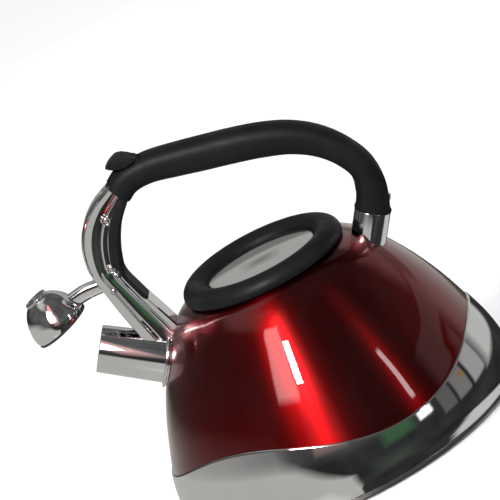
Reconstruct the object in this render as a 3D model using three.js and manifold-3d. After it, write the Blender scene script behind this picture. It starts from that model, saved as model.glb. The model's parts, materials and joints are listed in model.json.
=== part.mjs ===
// Stovetop whistling kettle, in millimetres, +Z up.
// The origin is the centre of the base's underside. The spout points towards -X, and the handle
// lies in the XZ plane. Points written as [x, z] lie in that plane; points written as [r, z] are
// on a turned profile.

import * as THREE from 'three';
import { mergeVertices } from 'three/addons/utils/BufferGeometryUtils.js';
import Module from 'manifold-3d';

const wasm = await Module();
wasm.setup();

// ---- driving dimensions ----

const GAP = 0.3;
const DEG = Math.PI / 180;

// body of revolution: outer surface as [r, z], from the foot of the wall to the lid opening
const BODY_PROFILE = [
  [111.0, 4.8], [113.4, 11], [114, 18], [111.6, 33], [105.6, 51], [98, 70.5],
  [88.6, 89.5], [78.6, 105.5], [69.2, 118], [60.5, 125.2], [54, 128.3], [49.6, 129.4],
];
const BODY_SEGMENTS = 48;
const BAND_WALL = 1.8;
const DOME_INSET = 0.9;
const DOME_WALL = 1.8;
const DOME_TUCK = 6;
const OPENING_RADIUS = 48;
const OPENING_LIP_Z = 122;
const DOME_TOP = 128.4;
const SHOULDER = 118;
const CUTTER_FOOT = 60;

// wavy joint between the painted dome and the polished band
const SEAM_HEIGHT = 44;
const SEAM_AMPLITUDE = 10;
const SEAM_WAVES = 3;
const SEAM_PHASE = 31 * DEG;
const SEAM_FADE_LOW = 20;
const SEAM_FADE_HIGH = 104;

// encapsulated base
const FLOOR_UNDERSIDE = 7.6;
const FLOOR_TOP = 9.2;
const BASE_CAP_RADIUS = 110.2;
const BASE_RIM_TOP = 4.4;
const BASE_CAP_WALL = 1.6;
const CORE_RADIUS = 101;

// spout: a short tapered tube square to the dome
const SPOUT_TILT = 33.7 * DEG;
const SPOUT_ROOT = [-82.3, 101.5];
const SPOUT_LENGTH = 41.5;
const SPOUT_START = 12;
const SPOUT_ROOT_RADIUS = 16;
const SPOUT_MOUTH_RADIUS = 15;
const SPOUT_WALL = 1.5;
const COLLAR_RADIUS = 18.8;
const COLLAR_THICKNESS = 1.8;

// whistle cap, drawn open
const CAP_PIN = [-90.2, 156.7];
const CAP_PIN_RADIUS = 1.6;
const CAP_SWING = 39 * DEG;
const CAP_WALL = 1.4;
const CAP_OUTER = [
  [18.4, 0], [18.9, 1.4], [19, 3.4], [18.4, 7], [17.2, 10.4], [15.4, 14.4], [13.1, 17.8], [10.4, 20.6],
  [8.2, 22.2],
];
const ARM_HALF_WIDTH = 4.2;
const FORK_HALF_GAP = 2.2;
const CRANK_LENGTH = 7;
const CRANK_PIN_RADIUS = 1.2;
const CRANK_END_RADIUS = 2.7;
const CAP_BUSH_RADIUS = 2.1;
const CAP_SCREW_HEIGHT = 9;
const CAP_SCREW_SEAT = 15;
const SPRING_RADIUS = 3.1;
const SPRING_WIRE_RADIUS = 0.45;
const SPRING_TURNS = 1.4;
const SPRING_PITCH = 1.1;
const SPRING_START = 5.2;

// front strut: edges of its side view from the grip down to the foot
const STRUT_FRONT = [
  [-64, 218.6], [-78.3, 211.5], [-88.5, 202.5], [-94.8, 192], [-98.2, 180], [-98.6, 170],
  [-96.6, 160], [-93.6, 144], [-90, 128], [-86.5, 112],
];
const STRUT_REAR = [
  [-56.2, 205.3], [-63.6, 197.2], [-69.4, 189], [-73.9, 180.6], [-77.2, 172], [-78.9, 164],
  [-75.4, 151], [-70.6, 137.5], [-66.2, 126], [-61.5, 112],
];
const STRUT_HALF_WIDTH = 9;
const STRUT_WALL = 1.7;
const TANG_HALF_THICKNESS = 1.2;
const TANG_HALF_WIDTH = 6.6;
const TANG_HALF_SLOT = 3.2;
const STRUT_LENGTH = 125;
const STRUT_STEP = 0.025;
const STRUT_KNEE = 0.54;
const LINER_END = 0.725;
const STRUT_CLOSED = 0.74;
const HOLLOW_END = 0.85;
const LINER_INSET = 0.6;
const SCREWS = [['strut_screw_upper', 0.16, 0.55], ['strut_screw_lower', 0.5, 0.62]];
const SCREW_RADIUS = 1.5;
const SCREW_HEAD_RADIUS = 2.9;

// grip: centre line, with half sizes in the handle plane and across it
const GRIP_LINE = [
  [-63, 210.4], [-48, 217.2], [-36, 218], [-20, 215.4], [-2, 211.8], [16, 208.2], [34, 203.8],
  [51, 197.6], [65, 188.6], [76, 176.4], [83, 161.6], [82.2, 147.4], [76.4, 132.4],
];
const GRIP_HALF_IN_PLANE = [9.2, 9.4, 9.8, 10.4, 10.8, 10.9, 10.8, 10.3, 9.6, 8.9, 8.6, 9.8, 11.4];
const GRIP_HALF_ACROSS = 10.8;
const GRIP_SQUARENESS = 2.5;
const FLAT = 100;

// thumb lever, drawn pressed
const LEVER_PIN = [-40.5, 223.2];
const LEVER_PIN_RADIUS = 1.3;
const LEVER_KNUCKLE_RADIUS = 3.4;
const LEVER_HALF_WIDTH = 8.6;
const LEVER_PIN_HALF_LENGTH = 8.8;
const LEVER_NOSE = [-60, 213];
const LEVER_NOSE_RADIUS = 2;
const FINGER_HALF_WIDTH = 2.4;
const KNUCKLE_HALF_WIDTH = 5;

// push rod from the lever's nose to the arm's crank
const ROD_RADIUS = 1.4;
const ROD_EYE_RADIUS = 2.8;
const ROD_HEAD_RADIUS = 2;
const ROD_HEAD_HEIGHT = 1.6;
const ROD_HEAD_TOP = LEVER_NOSE[1] - LEVER_NOSE_RADIUS - 0.4;

// rear ferrule and the strap inside it
const FERRULE_TOP = [76.9, 133.6];
const FERRULE_AXIS = [0.556, 0.831];
const FERRULE_LENGTH = 26;
const FERRULE_RADIUS = 11.3;
const FERRULE_WALL = 1.5;
const STRAP_HALF_THICKNESS = 2;
const STRAP_HALF_WIDTH = 5;
const GRIP_SCREW_PLACE = [80.4, 141];
const GRIP_SCREW_AXIS = [0.88, -0.47];
const GRIP_SCREW_RADIUS = 1.6;
const GRIP_SCREW_HEAD_RADIUS = 3;

// lid
const LID_RING_INNER = 36.8;
const LID_SKIRT_RADIUS = 45;
const LID_SCREW_CIRCLE = 41;
const LID_SCREW_COUNT = 3;

// reach of the tools that cut right across the handle
const ACROSS = 20;

// ---- materials ----

function material(color, roughness, metalness) {
  return new THREE.MeshStandardMaterial({ color, roughness, metalness });
}

const redPaint = () => material(0x8c0f14, 0.25, 0.6);
const polishedSteel = () => material(0xd9dbdc, 0.08, 1);
const brushedSteel = () => material(0xb9bab8, 0.4, 1);
const blackPlastic = () => material(0x191b1d, 0.6, 0);
const aluminium = () => material(0xb4b6b8, 0.5, 1);
const silicone = () => material(0x222426, 0.75, 0);

// ---- solids ----

const kettle = new THREE.Group();

// A closed geometry as a solid whose faces point out.
function solid(geometry) {
  const bare = geometry.clone();
  bare.deleteAttribute('normal');
  bare.deleteAttribute('uv');
  const merged = mergeVertices(bare, 1e-4);
  const position = merged.attributes.position;
  const triangles = [];
  let volume = 0;
  const [a, b, c] = [new THREE.Vector3(), new THREE.Vector3(), new THREE.Vector3()];
  for (let i = 0; i < merged.index.count; i += 3) {
    const corner = [merged.index.getX(i), merged.index.getX(i + 1), merged.index.getX(i + 2)];
    if (new Set(corner).size < 3) continue;
    triangles.push(...corner);
    a.fromBufferAttribute(position, corner[0]);
    b.fromBufferAttribute(position, corner[1]);
    c.fromBufferAttribute(position, corner[2]);
    volume += a.dot(b.cross(c));
  }
  if (volume < 0) triangles.reverse();
  const mesh = new wasm.Mesh({
    numProp: 3,
    vertProperties: new Float32Array(position.array),
    triVerts: new Uint32Array(triangles),
  });
  return new wasm.Manifold(mesh);
}

function toGeometry(body) {
  const mesh = body.getMesh();
  const geometry = new THREE.BufferGeometry();
  geometry.setAttribute('position', new THREE.BufferAttribute(new Float32Array(mesh.vertProperties), 3));
  geometry.setIndex(new THREE.BufferAttribute(new Uint32Array(mesh.triVerts), 1));
  geometry.computeVertexNormals();
  return geometry;
}

function addPart(name, body, partMaterial) {
  const mesh = new THREE.Mesh(toGeometry(body), partMaterial);
  mesh.name = name;
  kettle.add(mesh);
}

// A profile of [r, z] points turned about Z.
function turned(profile, segments) {
  const points = profile.map(([r, z]) => new THREE.Vector2(r, z));
  return new THREE.LatheGeometry(points, segments).rotateX(Math.PI / 2);
}

// An outline of [x, z] points extruded across the handle plane, from y = low to y = high.
function plate(outline, low, high) {
  const shape = new THREE.Shape(outline.map(([x, z]) => new THREE.Vector2(x, z)));
  const options = { depth: high - low, bevelEnabled: false };
  const geometry = new THREE.ExtrudeGeometry(shape, options);
  return solid(geometry.rotateX(Math.PI / 2).translate(0, high, 0));
}

// A cylinder about an axis parallel to Y through [x, z].
function crossPin([x, z], radius, low, high, sides = 12) {
  const geometry = new THREE.CylinderGeometry(radius, radius, high - low, sides);
  return solid(geometry.translate(x, (low + high) / 2, z));
}

function box([x0, y0, z0], [x1, y1, z1]) {
  const geometry = new THREE.BoxGeometry(x1 - x0, y1 - y0, z1 - z0);
  return solid(geometry.translate((x0 + x1) / 2, (y0 + y1) / 2, (z0 + z1) / 2));
}

// Moves a solid turned about Z so that its axis points along (x, z) and its zero is at [ox, oz].
function aimed(geometry, [x, z], [ox, oz]) {
  return solid(geometry.rotateY(Math.atan2(x, z)).translate(ox, 0, oz));
}

function planeCurve(points) {
  return new THREE.CatmullRomCurve3(points.map(([x, z]) => new THREE.Vector3(x, 0, z)));
}

// A bar that follows a curve in the handle plane. halfSizes(t) gives its half size in the plane and
// across it, and squareness 2 makes the section an ellipse.
function bar(curve, halfSizes, sides, steps, squareness = 2) {
  const geometry = new THREE.CylinderGeometry(1, 1, 1, sides, steps);
  const position = geometry.attributes.position;
  const round = 2 / squareness;
  for (let i = 0; i < position.count; i += 1) {
    const t = THREE.MathUtils.clamp(position.getY(i) + 0.5, 0, 1);
    const [across, inPlane] = [position.getX(i), position.getZ(i)];
    const length = Math.hypot(across, inPlane);
    const shaped = (v) => (length < 1e-6 ? 0 : Math.sign(v) * Math.abs(v / length) ** round);
    const [halfInPlane, halfAcross] = halfSizes(t);
    const point = curve.getPoint(t);
    const tangent = curve.getTangent(t);
    const offset = shaped(Math.abs(inPlane) < 1e-9 ? 0 : inPlane) * halfInPlane;
    position.setXYZ(
      i,
      point.x - tangent.z * offset,
      shaped(Math.abs(across) < 1e-9 ? 0 : across) * halfAcross,
      point.z + tangent.x * offset,
    );
  }
  return solid(geometry);
}

// ---- body ----

const bodyCurve = new THREE.SplineCurve(BODY_PROFILE.map(([r, z]) => new THREE.Vector2(r, z)));
const bodySamples = bodyCurve.getPoints(200);

// Outer radius of the body at a height.
function bodyRadius(z) {
  const next = bodySamples.findIndex((sample) => sample.y >= z);
  if (next === 0) return bodySamples[0].x;
  if (next < 0) return bodySamples.at(-1).x;
  const [low, high] = [bodySamples[next - 1], bodySamples[next]];
  return THREE.MathUtils.mapLinear(z, low.y, high.y, low.x, high.x);
}

// Bends the rows of a turned wall so that the row at SEAM_HEIGHT follows the waves, each point
// keeping its distance from the body's outer surface.
function waved(geometry) {
  const position = geometry.attributes.position;
  for (let i = 0; i < position.count; i += 1) {
    const [x, y, z] = [position.getX(i), position.getY(i), position.getZ(i)];
    const radius = Math.hypot(x, y);
    if (radius < 60 || z < SEAM_FADE_LOW || z > SEAM_FADE_HIGH) continue;
    const edge = z < SEAM_HEIGHT ? SEAM_FADE_LOW : SEAM_FADE_HIGH;
    const share = (z - edge) / (SEAM_HEIGHT - edge);
    const weight = share * share * (3 - 2 * share);
    const around = Math.atan2(x, -y);
    const height = z + weight * SEAM_AMPLITUDE * Math.cos(SEAM_WAVES * (around + SEAM_PHASE));
    const grown = (bodyRadius(height) + radius - bodyRadius(z)) / radius;
    position.setXYZ(i, x * grown, y * grown, height);
  }
  return geometry;
}

function rowsBetween(low, high, count) {
  return Array.from({ length: count }, (_, i) => low + ((high - low) * i) / (count - 1));
}

// The body's outer surface moved in by a distance, from one height to another.
function offsetRows(low, high, count, inset) {
  return rowsBetween(low, high, count).map((z) => [bodyRadius(z) - inset, z]);
}

function domeSolid() {
  const outer = offsetRows(SEAM_HEIGHT + GAP, SHOULDER, 8, DOME_INSET);
  const tuckOuter = BAND_WALL + GAP;
  const inner = offsetRows(SEAM_HEIGHT - DOME_TUCK, SHOULDER - 2, 7, tuckOuter + DOME_WALL).reverse();
  const profile = [
    [bodyRadius(SEAM_HEIGHT - DOME_TUCK) - tuckOuter, SEAM_HEIGHT - DOME_TUCK],
    [bodyRadius(SEAM_HEIGHT + GAP) - tuckOuter, SEAM_HEIGHT + GAP],
    ...outer,
    [59.6, 124.9], [54, 127.6], [50.4, DOME_TOP], [OPENING_RADIUS, DOME_TOP - 1.2],
    [OPENING_RADIUS, OPENING_LIP_Z], [OPENING_RADIUS + 1.8, OPENING_LIP_Z],
    [OPENING_RADIUS + 2.2, 125.2], [56.4, 123.4],
    ...inner,
  ];
  profile.push(profile[0]);
  const shell = solid(waved(turned(profile, BODY_SEGMENTS)));
  const hole = spoutBore(SPOUT_ROOT_RADIUS - SPOUT_WALL, -14, 10);
  return shell.subtract(hole);
}

// Everything inside the painted dome's outer surface, grown by the working gap.
function domeCutter() {
  const rows = offsetRows(CUTTER_FOOT, SHOULDER, 8, DOME_INSET - GAP);
  const profile = [
    [0, CUTTER_FOOT], ...rows,
    [60, 125.3], [54.2, 127.9], [50.5, DOME_TOP + GAP], [0, DOME_TOP + GAP],
  ];
  return solid(waved(turned(profile, BODY_SEGMENTS)));
}

function bandSolid() {
  const outer = [[111, 4.8], [112.6, 8.4], ...offsetRows(12, SEAM_HEIGHT, 6, 0)];
  const inner = offsetRows(FLOOR_TOP + 3, SEAM_HEIGHT, 5, BAND_WALL).reverse();
  const profile = [
    [0, FLOOR_UNDERSIDE], [104, FLOOR_UNDERSIDE], [107.5, 6.4], [109.2, 4.8],
    ...outer, ...inner, [107, FLOOR_TOP], [0, FLOOR_TOP],
  ];
  return solid(waved(turned(profile, BODY_SEGMENTS)));
}

function baseCapSolid() {
  const profile = [
    [0, 0], [BASE_CAP_RADIUS - 3, 0], [BASE_CAP_RADIUS, 1.4],
    [BASE_CAP_RADIUS, BASE_RIM_TOP - 0.5], [BASE_CAP_RADIUS - 0.7, BASE_RIM_TOP],
    [CORE_RADIUS + GAP, BASE_RIM_TOP], [CORE_RADIUS + GAP, BASE_CAP_WALL], [0, BASE_CAP_WALL],
  ];
  return solid(turned(profile, BODY_SEGMENTS));
}

function baseCoreSolid() {
  const [low, high] = [BASE_CAP_WALL + GAP, FLOOR_UNDERSIDE - GAP];
  const profile = [
    [0, low], [CORE_RADIUS - 0.6, low], [CORE_RADIUS, low + 0.6], [CORE_RADIUS, high], [0, high],
  ];
  return solid(turned(profile, BODY_SEGMENTS));
}

addPart('base_cap', baseCapSolid(), polishedSteel());
addPart('base_core', baseCoreSolid(), aluminium());
addPart('body_band', bandSolid(), polishedSteel());
addPart('body_dome', domeSolid(), redPaint());

// ---- spout ----

function spoutAimed(geometry) {
  return aimed(geometry, [-Math.cos(SPOUT_TILT), Math.sin(SPOUT_TILT)], SPOUT_ROOT);
}

// A straight round bar on the spout's axis, from one distance along it to another.
function spoutBore(radius, from, to) {
  return spoutAimed(turned([[0, from], [radius, from], [radius, to], [0, to]], 32));
}

// The outside of the spout tube as [r, distance along], starting inside the dome.
function spoutOutline(grow = 0) {
  const [root, mouth] = [SPOUT_ROOT_RADIUS + grow, SPOUT_MOUTH_RADIUS + grow];
  return [[root, -SPOUT_START], [root, 2], [mouth, SPOUT_LENGTH - 0.5], [mouth - 0.4, SPOUT_LENGTH]];
}

function spoutTubeSolid() {
  const outer = spoutOutline();
  const [root, mouth] = [SPOUT_ROOT_RADIUS - SPOUT_WALL, SPOUT_MOUTH_RADIUS - SPOUT_WALL];
  const inner = [[mouth, SPOUT_LENGTH], [root, 2], [root, -SPOUT_START]];
  return spoutAimed(turned([...outer, ...inner, outer[0]], 32)).subtract(domeCutter());
}

// Everything inside the spout tube's outer surface, grown by the working gap.
function spoutCutter() {
  return spoutAimed(turned([[0, -SPOUT_START], ...spoutOutline(GAP), [0, SPOUT_LENGTH]], 32));
}

function collarSolid(grow = 0) {
  const [inner, outer] = [SPOUT_ROOT_RADIUS + GAP - grow, COLLAR_RADIUS + grow];
  const [low, high] = [-grow, COLLAR_THICKNESS + grow];
  const profile = [
    [inner, low], [outer - 0.5, low], [outer, low + 0.5], [outer, high - 0.5], [outer - 0.5, high],
    [inner, high], [inner, low],
  ];
  return spoutAimed(turned(profile, 32));
}

addPart('spout_tube', spoutTubeSolid(), polishedSteel());
addPart('spout_collar', collarSolid().subtract(domeCutter()), polishedSteel());

// ---- front strut ----

const strutFront = planeCurve(STRUT_FRONT);
const strutRear = planeCurve(STRUT_REAR);

// A point of the strut's side view. Along it, 0 is the grip end and 1 the foot; in depth, 0 is the
// front edge and 1 the rear.
function strutPoint(along, depth) {
  const held = THREE.MathUtils.clamp(along, 0, 1);
  const point = strutFront.getPoint(held).lerp(strutRear.getPoint(held), depth);
  const past = strutFront.getTangent(held).multiplyScalar((along - held) * STRUT_LENGTH);
  return [point.x + past.x, point.z + past.z];
}

// An outline of the strut between two depths, each a function of the place along it.
function strutOutline(from, to, frontDepth, rearDepth) {
  const rows = rowsBetween(from, to, Math.round((to - from) / STRUT_STEP) + 1);
  const front = rows.map((along) => strutPoint(along, frontDepth(along)));
  const rear = rows.map((along) => strutPoint(along, rearDepth(along))).reverse();
  return [...front, ...rear];
}

const linerDepth = (along) => (along < STRUT_KNEE ? 0.7 : 0.84);
const shellDepth = (along) => (along < STRUT_CLOSED ? linerDepth(along) : 1);

function screwSolid(along, depth, side) {
  const centre = strutPoint(along, depth);
  const ends = (low, high) => (side > 0 ? [low, high] : [-high, -low]);
  const shank = crossPin(centre, SCREW_RADIUS, ...ends(TANG_HALF_WIDTH + GAP, STRUT_HALF_WIDTH + 0.2));
  const head = crossPin(centre, SCREW_HEAD_RADIUS, ...ends(STRUT_HALF_WIDTH + 0.1, STRUT_HALF_WIDTH + 1));
  return shank.add(head);
}

function screwHole(along, depth) {
  const centre = strutPoint(along, depth);
  return crossPin(centre, SCREW_RADIUS + GAP, -ACROSS, ACROSS)
    .add(crossPin(centre, SCREW_HEAD_RADIUS + GAP, STRUT_HALF_WIDTH - 0.2, ACROSS))
    .add(crossPin(centre, SCREW_HEAD_RADIUS + GAP, -ACROSS, 0.2 - STRUT_HALF_WIDTH));
}

function strutShellSolid() {
  const outline = strutOutline(0, 1, () => 0, shellDepth);
  const hollowRear = (along) => (along < STRUT_CLOSED ? 1.4 : 0.9);
  const hollow = strutOutline(-STRUT_STEP, HOLLOW_END, () => 0.11, hollowRear);
  const inside = STRUT_HALF_WIDTH - STRUT_WALL;
  const armSlot = box([-120, -ARM_HALF_WIDTH - 0.8, 145], [-88, ARM_HALF_WIDTH + 0.8, 168.5]);
  const fingerNotch = box([-75, -FINGER_HALF_WIDTH - 0.6, 211.5], [-60, FINGER_HALF_WIDTH + 0.6, 222]);
  let shell = plate(outline, -STRUT_HALF_WIDTH, STRUT_HALF_WIDTH)
    .subtract(plate(hollow, -inside, inside))
    .subtract(armSlot)
    .subtract(fingerNotch)
    .subtract(domeCutter())
    .subtract(spoutCutter())
    .subtract(collarSolid(GAP))
    .subtract(crossPin(CAP_PIN, CAP_PIN_RADIUS + GAP, -ACROSS, ACROSS));
  for (const [, along, depth] of SCREWS) shell = shell.subtract(screwHole(along, depth));
  return shell;
}

function strutLinerSolid() {
  const gapDepth = 0.02;
  const outline = strutOutline(0, LINER_END, (along) => linerDepth(along) + gapDepth, () => 1);
  return plate(outline, LINER_INSET - STRUT_HALF_WIDTH, STRUT_HALF_WIDTH - LINER_INSET);
}

addPart('strut_shell', strutShellSolid(), polishedSteel());
addPart('strut_liner', strutLinerSolid(), blackPlastic());
for (const [name, along, depth] of SCREWS) {
  addPart(`${name}_left`, screwSolid(along, depth, 1), brushedSteel());
  addPart(`${name}_right`, screwSolid(along, depth, -1), brushedSteel());
}

// Two prongs riveted inside the strut that join into one strap inside the grip.
function tangSolid(grow = 0) {
  const inStrut = [0.2, 0.1, 0].map((along) => strutPoint(along, 0.58));
  const line = planeCurve([...inStrut, [-52, 213], [-43, 214.5]]);
  const half = [TANG_HALF_THICKNESS + grow, TANG_HALF_WIDTH + grow];
  const slot = box([-100, grow - TANG_HALF_SLOT, 150], [-50, TANG_HALF_SLOT - grow, 240]);
  return bar(line, () => half, 4, 10, FLAT).subtract(slot);
}

addPart('front_tang', tangSolid(), brushedSteel());

// ---- rear ferrule and strap ----

const ferruleFoot = FERRULE_TOP.map((value, i) => value - FERRULE_AXIS[i] * FERRULE_LENGTH);

function ferruleSolid() {
  const inner = FERRULE_RADIUS - FERRULE_WALL;
  const profile = [
    [inner, 0], [FERRULE_RADIUS, 0], [FERRULE_RADIUS, FERRULE_LENGTH - 0.4],
    [FERRULE_RADIUS - 0.4, FERRULE_LENGTH], [inner, FERRULE_LENGTH], [inner, 0],
  ];
  return aimed(turned(profile, 28), FERRULE_AXIS, ferruleFoot).subtract(domeCutter());
}

// Flat steel strap that runs from the dome up through the ferrule and along inside the grip.
function strapSolid(grow = 0) {
  const line = planeCurve([ferruleFoot, FERRULE_TOP, ...GRIP_LINE.slice(3, 12).reverse()]);
  const half = [STRAP_HALF_THICKNESS + grow, STRAP_HALF_WIDTH + grow];
  return bar(line, () => half, 4, 30, FLAT).subtract(domeCutter());
}

addPart('rear_ferrule', ferruleSolid(), polishedSteel());
addPart('handle_strap', strapSolid(), brushedSteel());

// ---- grip ----

const gripLine = planeCurve(GRIP_LINE);

function gripHalfSizes(t) {
  const place = t * (GRIP_HALF_IN_PLANE.length - 1);
  const low = Math.min(Math.floor(place), GRIP_HALF_IN_PLANE.length - 2);
  const half = THREE.MathUtils.lerp(GRIP_HALF_IN_PLANE[low], GRIP_HALF_IN_PLANE[low + 1], place - low);
  return [half, GRIP_HALF_ACROSS];
}

// Everything beyond a plane square to the handle plane, through a point and facing along a normal.
function beyond([x, z], [nx, nz]) {
  const reach = 40;
  const corner = (along, out) => [x - nz * along + nx * out, z + nx * along + nz * out];
  const outline = [corner(-reach, 0), corner(reach, 0), corner(reach, reach), corner(-reach, reach)];
  return plate(outline, -reach, reach);
}

// Everything on the strut's side of the joint between strut and grip.
function strutSide() {
  const [top, bottom] = [STRUT_FRONT[0], STRUT_REAR[0]];
  const edge = new THREE.Vector2(bottom[0] - top[0], bottom[1] - top[1]).normalize();
  return beyond([top[0] - edge.y * GAP, top[1] + edge.x * GAP], [edge.y, -edge.x]);
}

// Everything on the ferrule's side of the joint between ferrule and grip.
function ferruleSide() {
  const [ax, az] = FERRULE_AXIS;
  return beyond([FERRULE_TOP[0] + ax * GAP, FERRULE_TOP[1] + az * GAP], [-ax, -az]);
}

function leverPocket() {
  const [x, z] = LEVER_PIN;
  const above = [[-75, 224.9], [-46, 224.9], [-36.5, 228.2], [-36.5, 240], [-75, 240]];
  const knuckle = [[x - 5, z + 2.3], [x - 3.7, z], [x + 3.7, z + 0.6], [x + 3.7, z + 6], [x - 5, z + 6]];
  const finger = [
    [-70, 200], [-58.5, 206], [-56.8, 211], [-52, 218.4], [-49.6, 224], [-49.6, 230], [-75, 230],
  ];
  const knuckleWidth = KNUCKLE_HALF_WIDTH + 0.4;
  return plate(above, -ACROSS, ACROSS)
    .add(plate(knuckle, -knuckleWidth, knuckleWidth))
    .add(crossPin(LEVER_PIN, LEVER_KNUCKLE_RADIUS + 0.4, -knuckleWidth, knuckleWidth, 20))
    .add(plate(finger, -FINGER_HALF_WIDTH - 0.5, FINGER_HALF_WIDTH + 0.5));
}

function gripScrewSolid(grow = 0) {
  const shank = GRIP_SCREW_RADIUS + grow;
  const head = GRIP_SCREW_HEAD_RADIUS + grow;
  const low = STRAP_HALF_THICKNESS + 0.5 - grow;
  const seat = 8 - grow;
  const top = 11.2 + 8 * grow;
  const profile = [[0, low], [shank, low], [shank, seat], [head, seat], [head, top], [0, top]];
  return aimed(turned(profile, 12), GRIP_SCREW_AXIS, GRIP_SCREW_PLACE);
}

function gripSolid() {
  const pinReach = LEVER_PIN_HALF_LENGTH + GAP;
  const leverPinHole = crossPin(LEVER_PIN, LEVER_PIN_RADIUS + GAP, -pinReach, pinReach);
  return bar(gripLine, gripHalfSizes, 16, 30, GRIP_SQUARENESS)
    .subtract(strutSide())
    .subtract(leverPocket())
    .subtract(tangSolid(GAP))
    .subtract(strapSolid(GAP))
    .subtract(leverPinHole)
    .subtract(gripScrewSolid(GAP))
    .subtract(ferruleSide());
}

addPart('handle_grip', gripSolid(), blackPlastic());
addPart('grip_screw', gripScrewSolid(), brushedSteel());

// ---- thumb lever and push rod ----

// The lever's outline from above, rounded at the front.
function leverPlan() {
  const half = LEVER_HALF_WIDTH;
  const side = [[-61, 3.6], [-59, 5.8], [-56.5, 7.4], [-53, half], [-38, half]];
  const outline = [...side, ...side.map(([x, y]) => [x, -y]).reverse()];
  const shape = new THREE.Shape(outline.map(([x, y]) => new THREE.Vector2(x, y)));
  const geometry = new THREE.ExtrudeGeometry(shape, { depth: 20, bevelEnabled: false });
  return solid(geometry.translate(0, 0, 220));
}

function leverSolid() {
  const tab = [
    [-60, 228.6], [-59, 230.2], [-52.6, 233], [-48.6, 232.4],
    [-41, 227.4], [-43.6, 226.2], [-47.5, 225.5], [-53, 226.3],
  ];
  const neck = [[-46, 226.5], [-43.6, 224], [-41.6, 222.2], [-38.4, 225.4], [-41, 227.4], [-46, 230]];
  const finger = [
    [-62.6, 213.3], [-59.4, 213.3], [-54.6, 219.8], [-51.4, 226.6], [-55, 228], [-58.2, 221.4],
  ];
  return plate(tab, -LEVER_HALF_WIDTH, LEVER_HALF_WIDTH)
    .intersect(leverPlan())
    .add(plate(neck, -KNUCKLE_HALF_WIDTH, KNUCKLE_HALF_WIDTH))
    .add(crossPin(LEVER_PIN, LEVER_KNUCKLE_RADIUS, -KNUCKLE_HALF_WIDTH, KNUCKLE_HALF_WIDTH, 20))
    .add(plate(finger, -FINGER_HALF_WIDTH, FINGER_HALF_WIDTH))
    .add(crossPin(LEVER_NOSE, LEVER_NOSE_RADIUS, -FINGER_HALF_WIDTH, FINGER_HALF_WIDTH))
    .subtract(crossPin(LEVER_PIN, LEVER_PIN_RADIUS + GAP, -ACROSS, ACROSS));
}

const crankPin = [
  CAP_PIN[0] + CRANK_LENGTH * Math.cos(CAP_SWING / 2),
  CAP_PIN[1] - CRANK_LENGTH * Math.sin(CAP_SWING / 2),
];

function rodSolid() {
  const head = new THREE.CylinderGeometry(ROD_HEAD_RADIUS, ROD_HEAD_RADIUS, ROD_HEAD_HEIGHT, 12);
  const [x, z] = [LEVER_NOSE[0] - 0.9, ROD_HEAD_TOP - ROD_HEAD_HEIGHT / 2];
  const line = planeCurve([
    [x, z], [x - 4.4, z - 3.4], [-75.5, 199.5], [-84.5, 190.5], [-88.5, 179],
    [-88.6, 168], [-86.6, 160], crankPin,
  ]);
  return bar(line, () => [ROD_RADIUS, ROD_RADIUS], 8, 20)
    .add(solid(head.rotateX(Math.PI / 2).translate(x, 0, z)))
    .add(crossPin(crankPin, ROD_EYE_RADIUS, -ROD_RADIUS, ROD_RADIUS))
    .subtract(crossPin(crankPin, CRANK_PIN_RADIUS + 0.5, -ACROSS, ACROSS));
}

// A pin across the handle plane, the same length on both sides.
function pinSolid(place, radius, halfLength) {
  return crossPin(place, radius, -halfLength, halfLength);
}

addPart('lever_pin', pinSolid(LEVER_PIN, LEVER_PIN_RADIUS, LEVER_PIN_HALF_LENGTH), brushedSteel());
addPart('thumb_lever', leverSolid(), blackPlastic());
addPart('push_rod', rodSolid(), brushedSteel());

// ---- whistle cap ----

const capAxis = [-Math.cos(SPOUT_TILT + CAP_SWING), Math.sin(SPOUT_TILT + CAP_SWING)];

// Centre of the cap's rim when open: the spout mouth's centre, turned about the cap pin.
const capCentre = (() => {
  const mouth = new THREE.Vector2(
    SPOUT_ROOT[0] - SPOUT_LENGTH * Math.cos(SPOUT_TILT),
    SPOUT_ROOT[1] + SPOUT_LENGTH * Math.sin(SPOUT_TILT),
  );
  mouth.rotateAround(new THREE.Vector2(...CAP_PIN), -CAP_SWING);
  return [mouth.x, mouth.y];
})();

const capTurned = (profile, sides = 24) => aimed(turned(profile, sides), capAxis, capCentre);

function capShellSolid() {
  const top = CAP_OUTER.at(-1)[1];
  const inner = CAP_OUTER.map(([r, h]) => [r - CAP_WALL, h - (CAP_WALL * h) / top]).reverse();
  const crown = [[CAP_BUSH_RADIUS, top], [CAP_BUSH_RADIUS, top - CAP_WALL]];
  const profile = [...CAP_OUTER, ...crown, ...inner, CAP_OUTER[0]];
  return capTurned(profile).subtract(capScrewSolid(GAP));
}

// Screw from inside the cap into the end of the arm.
function capScrewSolid(grow = 0) {
  const [ax, az] = capAxis;
  const place = [capCentre[0] + ax * CAP_SCREW_HEIGHT, capCentre[1] + az * CAP_SCREW_HEIGHT];
  const [shank, head] = [1.5 + grow, 3 + grow];
  const low = CAP_SCREW_SEAT - 2 - grow;
  const [seat, tip] = [CAP_SCREW_SEAT + grow, CAP_SCREW_SEAT + 8.6 + grow];
  const profile = [[0, low], [head, low], [head, seat], [shank, seat], [shank, tip], [0, tip]];
  return aimed(turned(profile, 12), [az, -ax], place);
}

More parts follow.
